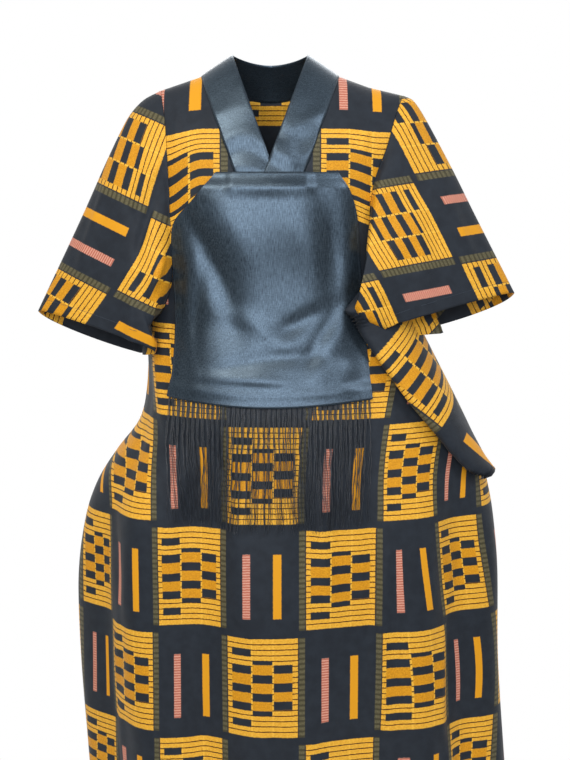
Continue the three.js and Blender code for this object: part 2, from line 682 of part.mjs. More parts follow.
const kaftan = new THREE.Group();

function addPiece(name, geometry, material) {
  const mesh = new THREE.Mesh(geometry, material);
  mesh.name = name;
  kaftan.add(mesh);
}

const frontPanel = panelGrids(-1);
const backPanel = panelGrids(1);
addPiece('front_panel', wallGeometry(frontPanel.outer, frontPanel.inner, false), printedCotton);
addPiece('back_panel', wallGeometry(backPanel.outer, backPanel.inner, false), printedCotton);
addPiece('sleeve_right', sleeveGeometry('right', frontPanel, backPanel), printedCotton);
addPiece('sleeve_left', sleeveGeometry('left', frontPanel, backPanel), printedCotton);
addPiece('neck_band_right', frontBandGeometry('right'), satin);
addPiece('neck_band_left', frontBandGeometry('left'), satin);
addPiece('neck_band_back', backBandGeometry(), satin);
addPiece('bib_panel', bibGeometry(), satin);
addPiece('fringe', fringeGeometry(), rayon);

export default kaftan;
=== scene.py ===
# Full-length kaftan of wax-printed cotton, with flared sleeves, a crossed satin neck band, a satin
# bib and a threaded fringe. The sizes in the tables are millimetres; meshes are metres, +Z up.
# The front faces -Y, and "right" and "left" are the wearer's, so left is +X.
import math

import bpy
import numpy as np
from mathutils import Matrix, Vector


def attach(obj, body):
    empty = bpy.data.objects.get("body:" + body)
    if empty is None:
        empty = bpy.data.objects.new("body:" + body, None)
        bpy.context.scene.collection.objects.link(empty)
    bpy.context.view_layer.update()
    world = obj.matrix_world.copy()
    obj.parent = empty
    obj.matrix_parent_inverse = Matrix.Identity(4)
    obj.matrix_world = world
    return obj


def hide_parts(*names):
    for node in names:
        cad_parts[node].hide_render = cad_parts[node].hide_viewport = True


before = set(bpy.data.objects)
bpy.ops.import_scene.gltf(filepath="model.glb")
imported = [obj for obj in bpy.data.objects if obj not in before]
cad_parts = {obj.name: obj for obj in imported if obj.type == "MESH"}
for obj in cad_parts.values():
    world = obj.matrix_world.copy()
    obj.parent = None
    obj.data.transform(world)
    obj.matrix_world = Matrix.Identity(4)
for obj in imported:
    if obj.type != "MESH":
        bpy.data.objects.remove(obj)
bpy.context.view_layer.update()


# ------------------------------------------------------------
# Front and back: two lengths of wax-printed cotton cut whole from shoulder to hem and sewn at the
# shoulders and sides. Worn, the cloth rounds over the chest and hangs in loose folds to the hem;
# one large fold falls from the left armhole over the edge of the bib.
MM = 0.001
COTTON_WALL = 0.9            # the cloth's drawn thickness
HEM = -1430
UNDERARM = {"right": -440, "left": -412}
ROUNDING = 120

# height, half width to the right and left side seam, depth of front and back, squareness
SECTIONS = np.array([
    (-1430, 310, 433, 208, 192, 2.2), (-1230, 314, 416, 205, 186, 2.2),
    (-1010, 324, 395, 202, 178, 2.2), (-860, 324, 389, 199, 172, 2.2),
    (-760, 314, 382, 194, 164, 2.2), (-705, 296, 372, 188, 155, 2.2),
    (-655, 264, 356, 178, 145, 2.2), (-605, 226, 334, 166, 134, 2.2),
    (-548, 212, 306, 148, 120, 2.3), (-440, 206, 250, 119, 97, 2.3),
    (-412, 203, 236, 115, 94, 2.3), (-350, 200, 212, 111, 92, 2.4),
    (-265, 199, 206, 112, 98, 2.4), (-190, 202, 216, 106, 101, 2.4),
    (-120, 207, 238, 92, 94, 2.4), (-60, 213, 250, 76, 80, 2.4), (40, 215, 252, 58, 62, 2.4),
], dtype=float)
COLUMN = {"right": 1, "left": 2, "front": 3, "back": 4, "power": 5}

# shoulder seam: height over the distance from the middle
SHOULDER = {
    "right": ((0, 36), (61, 0), (112, -34), (178, -56), (250, -80)),
    "left": ((0, 36), (61, 0), (112, -34), (160, -51), (216, -64), (300, -83)),
}
# armhole seam: height and distance from the middle
ARMHOLE = {
    "right": ((-410, 176), (-360, 160), (-290, 158), (-215, 161), (-120, 167), (-85, 172), (-56, 178)),
    "left": ((-380, 186), (-330, 160), (-262, 159), (-218, 163), (-187, 171), (-152, 185), (-120, 195),
             (-95, 203), (-64, 216)),
}
# hanging folds: angle round the body, half width in degrees, height, where it starts and is full,
# and its drift in degrees down to the hem
FOLDS = (
    (-80, 8, 12, -660, -900, 4), (-60, 9, -12, -600, -820, 6), (-42, 10, 15, -560, -760, 8),
    (-22, 9, -16, -560, -740, 10), (-4, 10, 9, -640, -900, 8), (18, 10, -8, -640, -960, 4),
    (36, 9, 11, -640, -880, 2), (52, 8, -14, -600, -800, 0), (70, 9, 14, -640, -860, -2),
    (98, 10, -14, -560, -860, -3), (117, 10, 17, -420, -840, -4), (138, 9, -15, -300, -700, 2),
    (156, 10, 15, -260, -700, 4), (177, 10, -13, -220, -760, 0), (198, 10, 16, -280, -700, -4),
    (218, 9, -15, -320, -760, -3), (237, 9, 15, -420, -820, 2), (256, 9, -13, -600, -880, 4),
)
# soft creases: face (-1 front, 1 back), from x and z, to x and z, half width, height
CREASES = (
    (-1, -150, -210, -172, -420, 9, 3.5), (-1, -168, -300, -182, -520, 8, -3),
    (-1, -185, -430, -150, -640, 11, 5), (-1, -205, -470, -236, -690, 10, -5),
    (-1, -120, -600, -160, -900, 14, 6), (-1, -90, -575, -84, -800, 12, -5),
    (-1, -40, -620, -20, -980, 13, 5), (-1, 30, -600, 44, -860, 12, -4.5),
    (-1, 92, -600, 118, -930, 13, 6), (-1, 140, -640, 150, -1010, 12, -5),
    (-1, 200, -700, 214, -1180, 14, 6), (-1, 262, -740, 276, -1240, 12, -6),
    (-1, 310, -760, 330, -1330, 11, 6), (-1, -215, -760, -232, -1300, 12, 6),
    (-1, -262, -700, -280, -1160, 10, -6), (-1, -10, -1010, 8, -1400, 14, -5),
    (-1, 80, -1000, 96, -1380, 15, 5), (-1, -130, -980, -140, -1400, 14, -5),
    (-1, 166, -80, 150, -170, 7, 2.5), (-1, -140, -70, -150, -150, 7, 2.2),
    (1, -150, -110, -60, -150, 12, 3), (1, 170, -120, 70, -170, 12, 3),
    (1, -150, -260, -90, -330, 11, -3.5), (1, 150, -270, 90, -345, 11, -3.5),
    (1, -60, -330, -80, -640, 13, 5), (1, 40, -300, 60, -600, 13, -5),
    (1, 120, -380, 170, -760, 13, 6), (1, -140, -400, -190, -760, 13, 5),
    (1, -20, -640, -10, -1150, 15, 5), (1, 90, -700, 110, -1240, 14, -6),
    (1, -110, -720, -130, -1260, 14, -6), (1, 220, -700, 260, -1260, 13, 6),
)


def smooth(t):
    t = np.clip(t, 0, 1)
    return t * t * (3 - 2 * t)


def curve(keys, values, at):
    """Reads values at a place between keys, on a smooth curve through all of them."""
    high = np.clip(np.searchsorted(keys, at), 1, len(keys) - 1)
    low = high - 1
    before, after = np.maximum(low - 1, 0), np.minimum(high + 1, len(keys) - 1)
    span = keys[high] - keys[low]
    t = np.clip((at - keys[low]) / span, 0, 1)
    slope_low = (values[high] - values[before]) / (keys[high] - keys[before]) * span
    slope_high = (values[after] - values[low]) / (keys[after] - keys[low]) * span
    bend = (1 - t) ** 2 * t * slope_low - t * t * (1 - t) * slope_high
    return values[low] + (values[high] - values[low]) * smooth(t) + bend


def column(table, number, at):
    return curve(table[:, 0], table[:, number], at)


def section(name, z):
    return column(SECTIONS, COLUMN[name], z)


def half_width(x, z):
    return np.where(x < 0, section("right", z), section("left", z))


def straight(table, at):
    """Reads a table of places and values, on straight lines between its rows."""
    return np.interp(at, *np.array(table, float).T)


def shoulder(x):
    return np.where(x < 0, straight(SHOULDER["right"], -x), straight(SHOULDER["left"], x))


def armhole_x(side, z):
    rows = np.array(((UNDERARM[side], float(section(side, UNDERARM[side]))),) + ARMHOLE[side], dtype=float)
    return column(rows, 1, z)


def fold_height(angle, z):
    """How far the hanging folds lift the cloth at an angle round the body."""
    height = np.zeros(np.broadcast(angle, z).shape)
    for at, wide, high, start, full, drift in FOLDS:
        grown = smooth((start - z) / (start - full))
        centre = at + drift * np.clip((start - z) / (start - HEM), 0, 1)
        off = (angle - centre) - 360 * np.round((angle - centre) / 360)
        height = height + high * grown * np.exp(-((off / wide) ** 2))
    return height


def by_line(x, z, start, end):
    """How far along a line a place lies, as a share, how far beside it, and the line's length."""
    length = math.hypot(end[0] - start[0], end[1] - start[1])
    way_x, way_z = (end[0] - start[0]) / length, (end[1] - start[1]) / length
    right, up = x - start[0], z - start[1]
    return (right * way_x + up * way_z) / length, right * -way_z + up * way_x, length


def crease_height(face, x, z):
    """Soft, slightly bowed ridges and troughs along lines, dying out at both ends."""
    height = np.zeros(np.broadcast(x, z).shape)
    for side, x0, z0, x1, z1, wide, high in CREASES:
        down, across, length = by_line(x, z, (x0, z0), (x1, z1))
        across = across + 0.06 * length * np.sin(np.pi * np.clip(down, 0, 1)) * (1 if high > 0 else -1)
        ends = smooth(down / 0.35) * smooth((1 - down) / 0.35)
        height = height + np.where(face == side, high * ends * np.exp(-((across / wide) ** 2)), 0)
    return height


def ring(angle, z):
    """A point of the cloth: angle 0 is the middle of the front and 90 the wearer's left side."""
    turned = angle - 360 * np.round(angle / 360)
    front = np.abs(turned) <= 90
    face, toward = np.where(front, -1.0, 1.0), np.where(turned < 0, -1.0, 1.0)
    quarter = np.radians(np.where(front, np.abs(turned), 180 - np.abs(turned)))
    power = section("power", z)
    half = half_width(turned, z)
    depth = np.where(front, section("front", z), section("back", z))
    along, ahead = np.maximum(np.sin(quarter), 0), np.maximum(np.cos(quarter), 0)
    x = toward * half * along ** (2 / power)
    drop = np.maximum(shoulder(x) - z, 0)
    rounding = np.sqrt(np.maximum(1 - (1 - np.minimum(drop / ROUNDING, 1)) ** 2, 0))
    y = face * depth * ahead ** (2 / power) * rounding
    out_x, out_y = along ** (2 - 2 / power) / half, ahead ** (2 - 2 / power) / depth
    lift = (fold_height(turned, z) + crease_height(face, x, z)) * rounding / np.hypot(out_x, out_y)
    return np.stack(np.broadcast_arrays(x + toward * lift * out_x, y + face * lift * out_y, z), -1)


def unit(ways):
    return ways / np.linalg.norm(ways, axis=-1, keepdims=True)


def outward(angle, z, step=0.05):
    across = ring(angle + step, z) - ring(angle - step, z)
    up = ring(angle, z + step) - ring(angle, z - step)
    return unit(np.cross(across, up))


def round_body(face, x, degrees):
    """Angle round the body, for degrees off the middle of its front or back."""
    return np.where(face < 0, np.sign(x) * degrees, 180 - np.sign(x) * degrees)


def angle_at(face, x, z):
    share = np.minimum(np.abs(x) / half_width(x, z), 1)
    return round_body(face, x, np.degrees(np.arcsin(share ** (section("power", z) / 2))))


def x_at(angle, z):
    """How far from the middle the smooth form lies at an angle round the body."""
    turn = np.sin(np.radians(angle))
    return np.sign(turn) * half_width(turn, z) * np.abs(turn) ** (2 / section("power", z))


def lay(face, x, z, out):
    """A point that lies a way out from the cloth's face, at a distance from the middle."""
    x, z, out = np.broadcast_arrays(np.asarray(x, float), np.asarray(z, float), np.asarray(out, float))
    angle = angle_at(face, x, z)
    return ring(angle, z) + outward(angle, z) * out[..., None]


def girth(face, x, z):
    """Length of cloth from the middle of the front or back out to x, on the smooth form."""
    half, depth = half_width(x, z), section("front" if face < 0 else "back", z)
    power = section("power", z)
    end = np.arcsin(np.minimum(np.abs(x) / half, 1) ** (power / 2))
    turn = end[..., None] * np.linspace(0, 1, 25)
    depths = depth[..., None] * np.maximum(np.cos(turn), 0) ** (2 / power[..., None])
    widths = half[..., None] * np.sin(turn) ** (2 / power[..., None])
    return np.sign(x) * np.hypot(np.diff(widths), np.diff(depths)).sum(-1)


# The neck opening that the bands fill: half width at the shoulder, lean of its V and band width
NECK_HALF, V_DEPTH, BAND, NECK_CUT, BACK_NECK = 61, 164, 60, -200, 12
BAND_SHOULDER, BACK_BAND_DROP = (112, -34), 38
LEAN = NECK_HALF / V_DEPTH


def band_outer(t):
    foot = NECK_HALF + BAND * math.sqrt(1 + LEAN * LEAN) + LEAN * NECK_CUT
    x, z = BAND_SHOULDER
    return x + (foot - x) * t, z + (NECK_CUT - z) * t


def back_neck(across, edge):
    inside, outside = -BACK_NECK * (1 - across**2), BAND_SHOULDER[1] - BACK_BAND_DROP * (1 - across**2)
    return inside + (outside - inside) * edge


def top_edge(face, side, part):
    """Top edge of a panel from its middle (0) by the band's shoulder end (0.5) to the armhole (1)."""
    if part >= 0.5:
        x = BAND_SHOULDER[0] + (ARMHOLE[side][-1][1] - BAND_SHOULDER[0]) * (part - 0.5) * 2
        return x, float(shoulder(-x if side == "right" else x))
    if face > 0:
        across = math.sin(part * math.pi)
        return BAND_SHOULDER[0] * across, back_neck(across, 1)
    x, z = band_outer(min(max(2 - part * 4, 0), 1) ** 1.5)
    return (x * part * 4 if part < 0.25 else x), z


def panel_places(face, columns, rows):
    """Angle and height of each point: rows 0..1 reach the underarm and 1..2 the hem."""
    angles, heights = [], []
    for place in columns:
        side, toward, part = ("right", -1, -place) if place < 0 else ("left", 1, place)
        level = UNDERARM["right"] + (UNDERARM["left"] - UNDERARM["right"]) * (place + 1) / 2
        top_x, top_z = top_edge(face, side, part)
        crown = float(shoulder(toward * top_x))
        start = 0.5 - math.sin(math.asin(1 - 2 * (crown - top_z) / (crown - level)) / 3)
        upper = rows[rows < 1]
        z_upper = crown - (crown - level) * smooth(start + (1 - start) * upper)
        above = top_x / float(armhole_x(side, top_z))
        below = math.sin(part * math.pi / 2) ** (2 / section("power", z_upper))
        x = toward * armhole_x(side, z_upper) * (above + (below - above) * smooth(upper))
        lower = rows[rows >= 1]
        z_lower = level + (HEM - level) * (lower - 1) ** 1.15
        angle_lower = np.full(lower.shape, 90 * place if face < 0 else 180 - 90 * place)
        angles.append(np.concatenate([angle_at(face, x, z_upper), angle_lower]))
        heights.append(np.concatenate([z_upper, z_lower]))
    return np.array(angles).T, np.array(heights).T


# The large fold on the left. By height: how far from the middle its root line lies, and how far its
# tip comes back over that line. FOLD_SLOPE is the direction across the fold, in x and z
FOLD_ROOT = ((-745, 425), (-698, 366), (-654, 322), (-612, 290), (-404, 170), (-372, 152), (-350, 138))
FOLD_SLOPE = (0.866, 0.5)
FOLD_OVERLAP = ((-745, 0), (-700, 8), (-654, 13), (-594, 21), (-530, 33), (-463, 40), (-418, 43), (-372, 47),
                (-350, 36))
FOLD_UNDER = 14              # how much of the front goes under before it turns back
FOLD_TOP, FOLD_FOOT, FOLD_INNER = -352, -760, 100   # its heights, and the least x that it takes up


def big_fold(x, z):
    """Where a point of the front lies once the fold is laid: its x and z, its lift, and whether it
    is past the fold's inner turn."""
    root, overlap = straight(FOLD_ROOT, z), straight(FOLD_OVERLAP, z)
    down = (-404 - z) / 208
    grown = smooth((FOLD_TOP - z) / 22) * (1 - smooth((down - 1.25) / 0.4))
    across = (x - root) * FOLD_SLOPE[0]
    edge = np.where(z > UNDERARM["left"], armhole_x("left", z), section("left", z))
    side = np.maximum((edge - root) * FOLD_SLOPE[0], FOLD_UNDER + 3)
    share = np.clip((across - FOLD_UNDER) / (side - FOLD_UNDER), 0, 1)
    tip = -overlap - 4
    keys = np.array((0, 0.05, 0.12, 0.2, 0.28, 0.36, 0.6, 1.0))
    turn = curve(keys, np.array((0, 0.2, 0.7, 0.97, 1.0, 0.86, 0.45, 0)), share)
    lift = curve(keys, np.array((9, 11, 13, 17, 25, 31, 26, 0)), share)
    under = across + 6 * smooth(across / FOLD_UNDER) * (across > 0)
    plain = FOLD_UNDER + 6 + (side - FOLD_UNDER - 6) * share
    over = plain + (tip - plain) * np.where(share < 0.28, turn, smooth(turn) * 0.35 + turn * 0.65)
    past = across > FOLD_UNDER
    placed = np.where(past, over, under)
    height = np.where(past, lift, 9 * smooth(across / FOLD_UNDER) ** 2)
    moved = (placed - across) * grown * (across > 0)
    new_x, new_z = x + moved * FOLD_SLOPE[0], z + moved * FOLD_SLOPE[1]
    return new_x, new_z, height * grown * (across > 0), past & (z < FOLD_TOP) & (z > FOLD_FOOT)


# The print's columns and rows, in cells: heights of its rows on the front, and where the columns'
# lines lie on the skirt
PRINT_ROWS = ((-1620, 9), (-1450, 8), (-1275, 7), (-1098, 6), (-918, 5), (-745, 4), (-585, 3), (-430, 2),
              (-268, 1), (-120, 0), (40, -1))
SKIRT_LINES = ((-312, -3.5), (-267, -2.5), (-176, -1.5), (-75, -0.5), (51, 0.5), (176, 1.5), (268, 2.5),
               (342, 3.5))
CELL = (145, 165)
# the same for the cloth that the large fold turns over: a cell's corner, turn and size
WING_CORNER, WING_TURN, WING_CELL = (144, -502), math.radians(48), (140, 164)


def front_print(x, z):
    across = girth(-1, x, z)
    spread = x - 32 * smooth((-700 - z) / 350) * smooth((x - 176) / 90)
    skirt = straight(SKIRT_LINES, spread)
    for end, line in ((SKIRT_LINES[0], -1), (SKIRT_LINES[-1], 1)):
        beyond = line * (across - girth(-1, end[0] + x - spread, z))
        skirt = np.where(line * (spread - end[0]) > 0, end[1] + line * beyond / CELL[0], skirt)
    columns = (across - 1) / CELL[0]
    columns = columns + (skirt - columns) * smooth((-430 - z) / 260)
    # beside the armholes the cloth is pulled down
    pull = np.where(x < 0, 34 * smooth((-x - 104) / 66), 18 * smooth((x - 118) / 60))
    pull = pull * (0.15 + 0.85 * smooth((-90 - z) / 150)) * smooth((-40 - z) / 50) * smooth((z + 340) / 80)
    columns = columns + 0.06 * smooth((-x - 100) / 50)
    return np.stack([columns, straight(PRINT_ROWS, z + pull)], -1)


def wing_print(x, z):
    right, up = x - WING_CORNER[0], z - WING_CORNER[1]
    right = right + 0.25 * (girth(-1, x, z) - x)
    cos, sin = math.cos(WING_TURN), math.sin(WING_TURN)
    u, v = 0.5 + (right * cos + up * sin) / WING_CELL[0], (right * sin - up * cos) / WING_CELL[1]
    return np.stack([u + 0.55 * (v > 0.965), np.where(v < 0, v * 0.2, v)], -1)


def back_print(x, z):
    return np.stack([girth(1, x, z) / CELL[0] + 4, straight(PRINT_ROWS, z)], -1)


def placed(name, data):
    """Puts a new object that holds this data into the scene."""
    made = bpy.data.objects.new(name, data)
    bpy.context.scene.collection.objects.link(made)
    return made


def corner_values(grid):
    """A grid's values at the four corners of each of its quads."""
    return np.stack([grid[:-1, :-1], grid[1:, :-1], grid[1:, 1:], grid[:-1, 1:]], 2)


def cloth(name, points, uv, thick, closed=False, flip=False):
    """A sheet of quads through a grid of points, this thick, with a UV at each corner."""
    rows, columns = points.shape[:2]
    index = np.arange(rows * columns).reshape(rows, columns)
    if closed:
        index = np.concatenate([index, index[:, :1]], 1)
    quads = corner_values(index).reshape(-1, 4)
    corners = (uv if uv.ndim == 4 else corner_values(uv)).reshape(-1, 4, 2)
    if flip:
        quads, corners = quads[:, ::-1], corners[:, ::-1]
    mesh = bpy.data.meshes.new(name)
    mesh.from_pydata((points.reshape(-1, 3) * MM).tolist(), [], quads.tolist())
    layer = mesh.uv_layers.new(name="Print")
    layer.data.foreach_set("uv", corners.astype(np.float32).ravel())
    mesh.polygons.foreach_set("use_smooth", np.ones(len(quads), dtype=bool))
    piece = placed(name, mesh)
    wall = piece.modifiers.new("Thickness", "SOLIDIFY")
    wall.thickness, wall.offset = thick * MM, -1
    return piece


def spaced(*runs):
    """Places from (start, end, count) runs, without repeating the joins."""
    return np.concatenate([np.linspace(a, b, n, endpoint=False) for a, b, n in runs] + [[runs[-1][1]]])


front_columns = spaced((-1, 0, 56), (0, 0.26, 18), (0.26, 0.86, 112), (0.86, 1, 14))
front_rows = spaced((0, 1, 56), (1, 1.33, 84), (1.33, 2, 76))
front_angle, front_z = panel_places(-1, front_columns, front_rows)
front_x = x_at(front_angle, front_z)
on_left = (front_x > FOLD_INNER) & (front_z < FOLD_TOP)
fold_x, fold_z, fold_lift, past_turn = big_fold(front_x, front_z)
placed_x = np.where(on_left, np.minimum(fold_x, half_width(front_angle, fold_z)), front_x)
placed_z = np.where(on_left, fold_z, front_z)
placed_angle = np.where(on_left, angle_at(-1, placed_x, placed_z), front_angle)
front_points = ring(placed_angle, placed_z)
front_points += outward(placed_angle, placed_z) * np.where(on_left, fold_lift, 0)[..., None]

wing = (past_turn & on_left)[:-1, :-1, None, None]
front_uv = np.where(wing, corner_values(wing_print(placed_x, placed_z)),
                    corner_values(front_print(placed_x, placed_z)))
front = cloth("front", front_points, front_uv, COTTON_WALL)

back_columns = spaced((-1, 1, 130))
back_rows = spaced((0, 1, 56), (1, 2, 100))
back_angle, back_z = panel_places(1, back_columns, back_rows)
back_points = ring(back_angle, back_z)
back = cloth("back", back_points, back_print(x_at(back_angle, back_z), back_z), COTTON_WALL, flip=True)


def linear(code):
    """An sRGB hex colour as linear red, green, blue and alpha."""
    parts = [int(code[i:i + 2], 16) / 255 for i in (1, 3, 5)]
    return (*[p / 12.92 if p <= 0.04045 else ((p + 0.055) / 1.055) ** 2.4 for p in parts], 1.0)


def add(tree, kind, links=None, **settings):
    """Adds a node, sets its fields, and links or sets its inputs; a hex code sets a colour."""
    made = tree.nodes.new(kind)
    for field, value in settings.items():
        setattr(made, field, value)
    for key, value in (links or {}).items():
        if isinstance(value, bpy.types.NodeSocket):
            tree.links.new(value, made.inputs[key])
        else:
            made.inputs[key].default_value = linear(value) if isinstance(value, str) else value
    return made


def socket(tree, kind, links=None, output=0, **settings):
    """Adds a node and gives one of its outputs, the first if none is named."""
    return add(tree, kind, links, **settings).outputs[output]


def noise(tree, place, scale, detail, output=0):
    return socket(tree, "ShaderNodeTexNoise", {"Vector": place, "Scale": scale, "Detail": detail}, output)


def ramp(tree, number, low=0.0, high=1.0, to_low=0.0, to_high=1.0):
    """Takes low..high over into to_low..to_high, and stays within it."""
    return socket(tree, "ShaderNodeMapRange", {"Value": number, "From Min": low, "From Max": high,
                                               "To Min": to_low, "To Max": to_high})


def blend(tree, share, a, b):
    """Colour a where the share is 0, going over into colour b where it is 1."""
    return socket(tree, "ShaderNodeMix", {0: share, 6: a, 7: b}, 2, data_type="RGBA")


def bumps(tree, height, strength, distance):
    return socket(tree, "ShaderNodeBump", {"Height": height, "Strength": strength, "Distance": distance})


def new_material(name):
    material = bpy.data.materials.new(name)
    material.use_nodes = True
    material.node_tree.nodes.clear()
    return material, material.node_tree


def surface(tree, inputs):
    add(tree, "ShaderNodeOutputMaterial", {"Surface": socket(tree, "ShaderNodeBsdfPrincipled", inputs)})


# Wax-printed cotton: plain-woven cotton, roller-printed in thick vat colours and calendered, so it is flat
# and a little glossy, with slightly bled edges, mottled yellow and fine cracks of ground; the cracks are not
# drawn
GROUND, GROUND_DEEP, YELLOW, GOLD, RED_BROWN = "#252B33", "#191D24", "#F6BC40", "#E5A01C", "#42190A"
OLIVE, OLIVE_RUNG, PINK, PINK_RUNG, BAR_YELLOW = "#46412C", "#6A6348", "#BC6852", "#DDA58F", "#E59C18"
BLOCK, BAND_COUNT = 0.93, 18   # the share of a row that a block fills, and the bands down a block
THREAD = 1.2                   # mm from thread to thread, as drawn
# the block's black and golden parts down its three columns, by the bands where they start
BANDS = {
    "first": ((1.85, "black"), (3.25, "light"), (4.9, "black"), (6.45, "gold"), (8.4, "black"),
              (9.9, "gold"), (11.7, "black"), (13.2, "light"), (14.8, "black"), (16.2, "light")),
    "second": ((3.9, "black"), (4.7, "gold"), (6.5, "black"), (8.05, "gold"), (9.9, "black"),
               (11.4, "gold"), (13.1, "black"), (14.0, "light")),
    "third": ((4.7, "black"), (6.25, "gold"), (8.0, "black"), (9.6, "gold"), (11.3, "black"),
              (12.9, "light")),
}
BAND_COLUMNS = {"first": (0.11, 0.357), "second": (0.374, 0.626), "third": (0.643, 0.88)}


def wax_print():
    material, tree = new_material("wax_printed_cotton")

    def calc(operation, *numbers):
        return socket(tree, "ShaderNodeMath", dict(enumerate(numbers)), operation=operation)

    def times(a, b):
        return calc("MULTIPLY", a, b)

    def minus(a, b):
        return calc("SUBTRACT", a, b)

    def between(number, low, high, soft=0.004):
        rise, fall = (ramp(tree, number, edge - soft, edge + soft) for edge in (low, high))
        return minus(rise, fall)

    def either(*masks):
        total = masks[0]
        for mask in masks[1:]:
            total = calc("MAXIMUM", total, mask)
        return total

    uv = socket(tree, "ShaderNodeUVMap", uv_map="Print")
    place = socket(tree, "ShaderNodeTexCoord", output="Object")
    # edges wander by about half a millimetre, as the dye bled
    offset = socket(tree, "ShaderNodeVectorMath",
                    {0: noise(tree, uv, 55.0, 3.0, "Color"), 1: (0.5, 0.5, 0.5)}, operation="SUBTRACT")
    bled = socket(tree, "ShaderNodeVectorMath", {0: offset, 1: (0.012, 0.012, 0.0), 2: uv},
                  operation="MULTIPLY_ADD")
    axes = add(tree, "ShaderNodeSeparateXYZ", {0: bled}).outputs
    u, v = calc("ADD", axes[0], 0.5), axes[1]
    cell_u, cell_v = calc("FLOOR", u), calc("FLOOR", v)
    across, down = minus(u, cell_u), minus(v, cell_v)
    odd = calc("FLOORED_MODULO", calc("ADD", cell_u, cell_v), 2.0)
    in_block = between(down, 0.0, BLOCK)
    band = times(down, BAND_COUNT / BLOCK)

    parts = {"black": [], "gold": []}
    for name, (left, right) in BAND_COLUMNS.items():
        inside = between(across, left, right)
        steps = BANDS[name] + ((BAND_COUNT, "light"),)
        for (start, kind), (end, _) in zip(steps, steps[1:]):
            if kind != "light":
                parts[kind].append(times(inside, between(band, start, end, 0.06)))
    black, gold = either(*parts["black"]), either(*parts["gold"])

    # the thin lines between the bands, left out of the golden parts
    lines = ramp(tree, calc("ABSOLUTE", minus(calc("FRACT", band), 0.5)), 0.395, 0.42)
    lines = times(times(lines, minus(1.0, gold)), between(band, 0.5, BAND_COUNT - 0.5, 0.05))
    sides = list(BAND_COLUMNS.values())
    gaps = either(*(between(across, a[1], b[0], 0.002) for a, b in zip(sides, sides[1:])))

    # dye lies unevenly: a mottle at about 2 mm and another at about 17 mm
    mottle = noise(tree, place, 620.0, 3.0)
    grain = ramp(tree, mottle, 0.38, 0.62)
    patch = ramp(tree, noise(tree, place, 60.0, 2.0), 0.35, 0.65)

    light = blend(tree, times(grain, 0.8), YELLOW, "#D8941C")
    golden = blend(tree, times(grain, 0.8), GOLD, "#C27E0C")
    ground = blend(tree, times(patch, 0.5), GROUND, GROUND_DEEP)
    block = blend(tree, gold, light, golden)
    for share, colour in ((gaps, YELLOW), (lines, RED_BROWN), (black, ground)):
        block = blend(tree, share, block, colour)
    block = blend(tree, times(in_block, between(across, 0.052, 0.948)), ground, block)

    # a black cell holds one pink bar with pale rungs and one yellow bar
    tall = between(down, 0.21, 0.81)
    rung = calc("FRACT", times(down, CELL[1] / 4.0))
    pink = blend(tree, between(rung, 0.35, 0.75, 0.12), PINK, PINK_RUNG)
    bars = blend(tree, times(tall, between(across, 0.255, 0.35)), ground, pink)
    yellow_bar = blend(tree, times(grain, 0.5), BAR_YELLOW, GOLD)
    bars = blend(tree, times(tall, between(across, 0.635, 0.74)), bars, yellow_bar)
    cell = blend(tree, odd, bars, block)

    # a ladder strip runs down every column line beside the blocks
    ladder = times(minus(1.0, between(across, 0.038, 0.962)), in_block)
    step = calc("FRACT", times(down, CELL[1] / 8.0))
    olive = blend(tree, between(step, 0.2, 0.8, 0.1), OLIVE, OLIVE_RUNG)
    olive = blend(tree, times(grain, 0.5), olive, "#3A3522")
    printed = blend(tree, ladder, cell, olive)

    # the plain weave, drawn larger so that it shows, and shallow dents from handling
    weave = socket(tree, "ShaderNodeVectorMath", {0: uv, 1: (CELL[0] / THREAD, CELL[1] / THREAD, 0.0)},
                   operation="MULTIPLY")
    threads = socket(tree, "ShaderNodeTexChecker", {"Vector": weave, "Scale": 1.0}, 1)
    relief = calc("MULTIPLY_ADD", threads, 0.06, noise(tree, place, 14.0, 3.0))
    surface(tree, {
        "Base Color": printed, "Roughness": ramp(tree, mottle, to_low=0.5, to_high=0.68),
        "Normal": bumps(tree, relief, 0.35, 0.004), "IOR": 1.45, "Specular IOR Level": 0.28,
        "Sheen Weight": 0.05, "Sheen Roughness": 0.5,
    })
    return material


cotton = wax_print()


def finish_piece(piece, node, slot, material, flat, area, held="draped", rests_on=()):
    piece.data.materials.append(material)
    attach(piece, "root")
    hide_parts(node)


finish_piece(front, "front_panel", "printed_cotton", cotton, (1.0, 1.45), 1.12)
finish_piece(back, "back_panel", "printed_cotton", cotton, (0.97, 1.45), 1.04)


# ------------------------------------------------------------
# Sleeves: flared, of the same cotton with its width laid along the arm, set into the armholes. The
# left one folds back over the armhole seam and the edge of the bib; both end in a turned hem.
# share of the sleeve's length, top fold x y z, underarm seam x y z, fullness of front and back
SLEEVES = {
    "right": np.array([
        (0, 178, 0, -56, 206, 0, -440, 74, 72), (0.12, 210, -2, -73, 206, -40, -442, 68, 70),
        (0.24, 238, -4, -108, 196, -64, -446, 58, 70), (0.6, 312, -12, -262, 184, -88, -460, 40, 66),
        (1, 388, -22, -416, 186, -94, -474, 24, 58),
    ], dtype=float),
    "left": np.array([
        (0, 216, 0, -64, 236, 0, -412, 80, 70), (0.1, 238, -2, -76, 206, -60, -404, 72, 70),
        (0.3, 288, -8, -162, 138, -114, -396, 46, 72), (0.6, 338, -14, -258, 146, -124, -416, 34, 74),
        (1, 406, -22, -386, 184, -120, -434, 20, 70),
    ], dtype=float),
}
CUFF_TILT, CLEAR, BACK_CLEAR = 0.42, 9, 5    # rise of a cuff's front, gap to the body, more behind
ROLL = {"away": 3, "plain": 1, "folded": 5}  # the roll over the seam: how far out it leans and lifts
ROUND_STEPS = 56             # points of a ring on the front, and again on the back
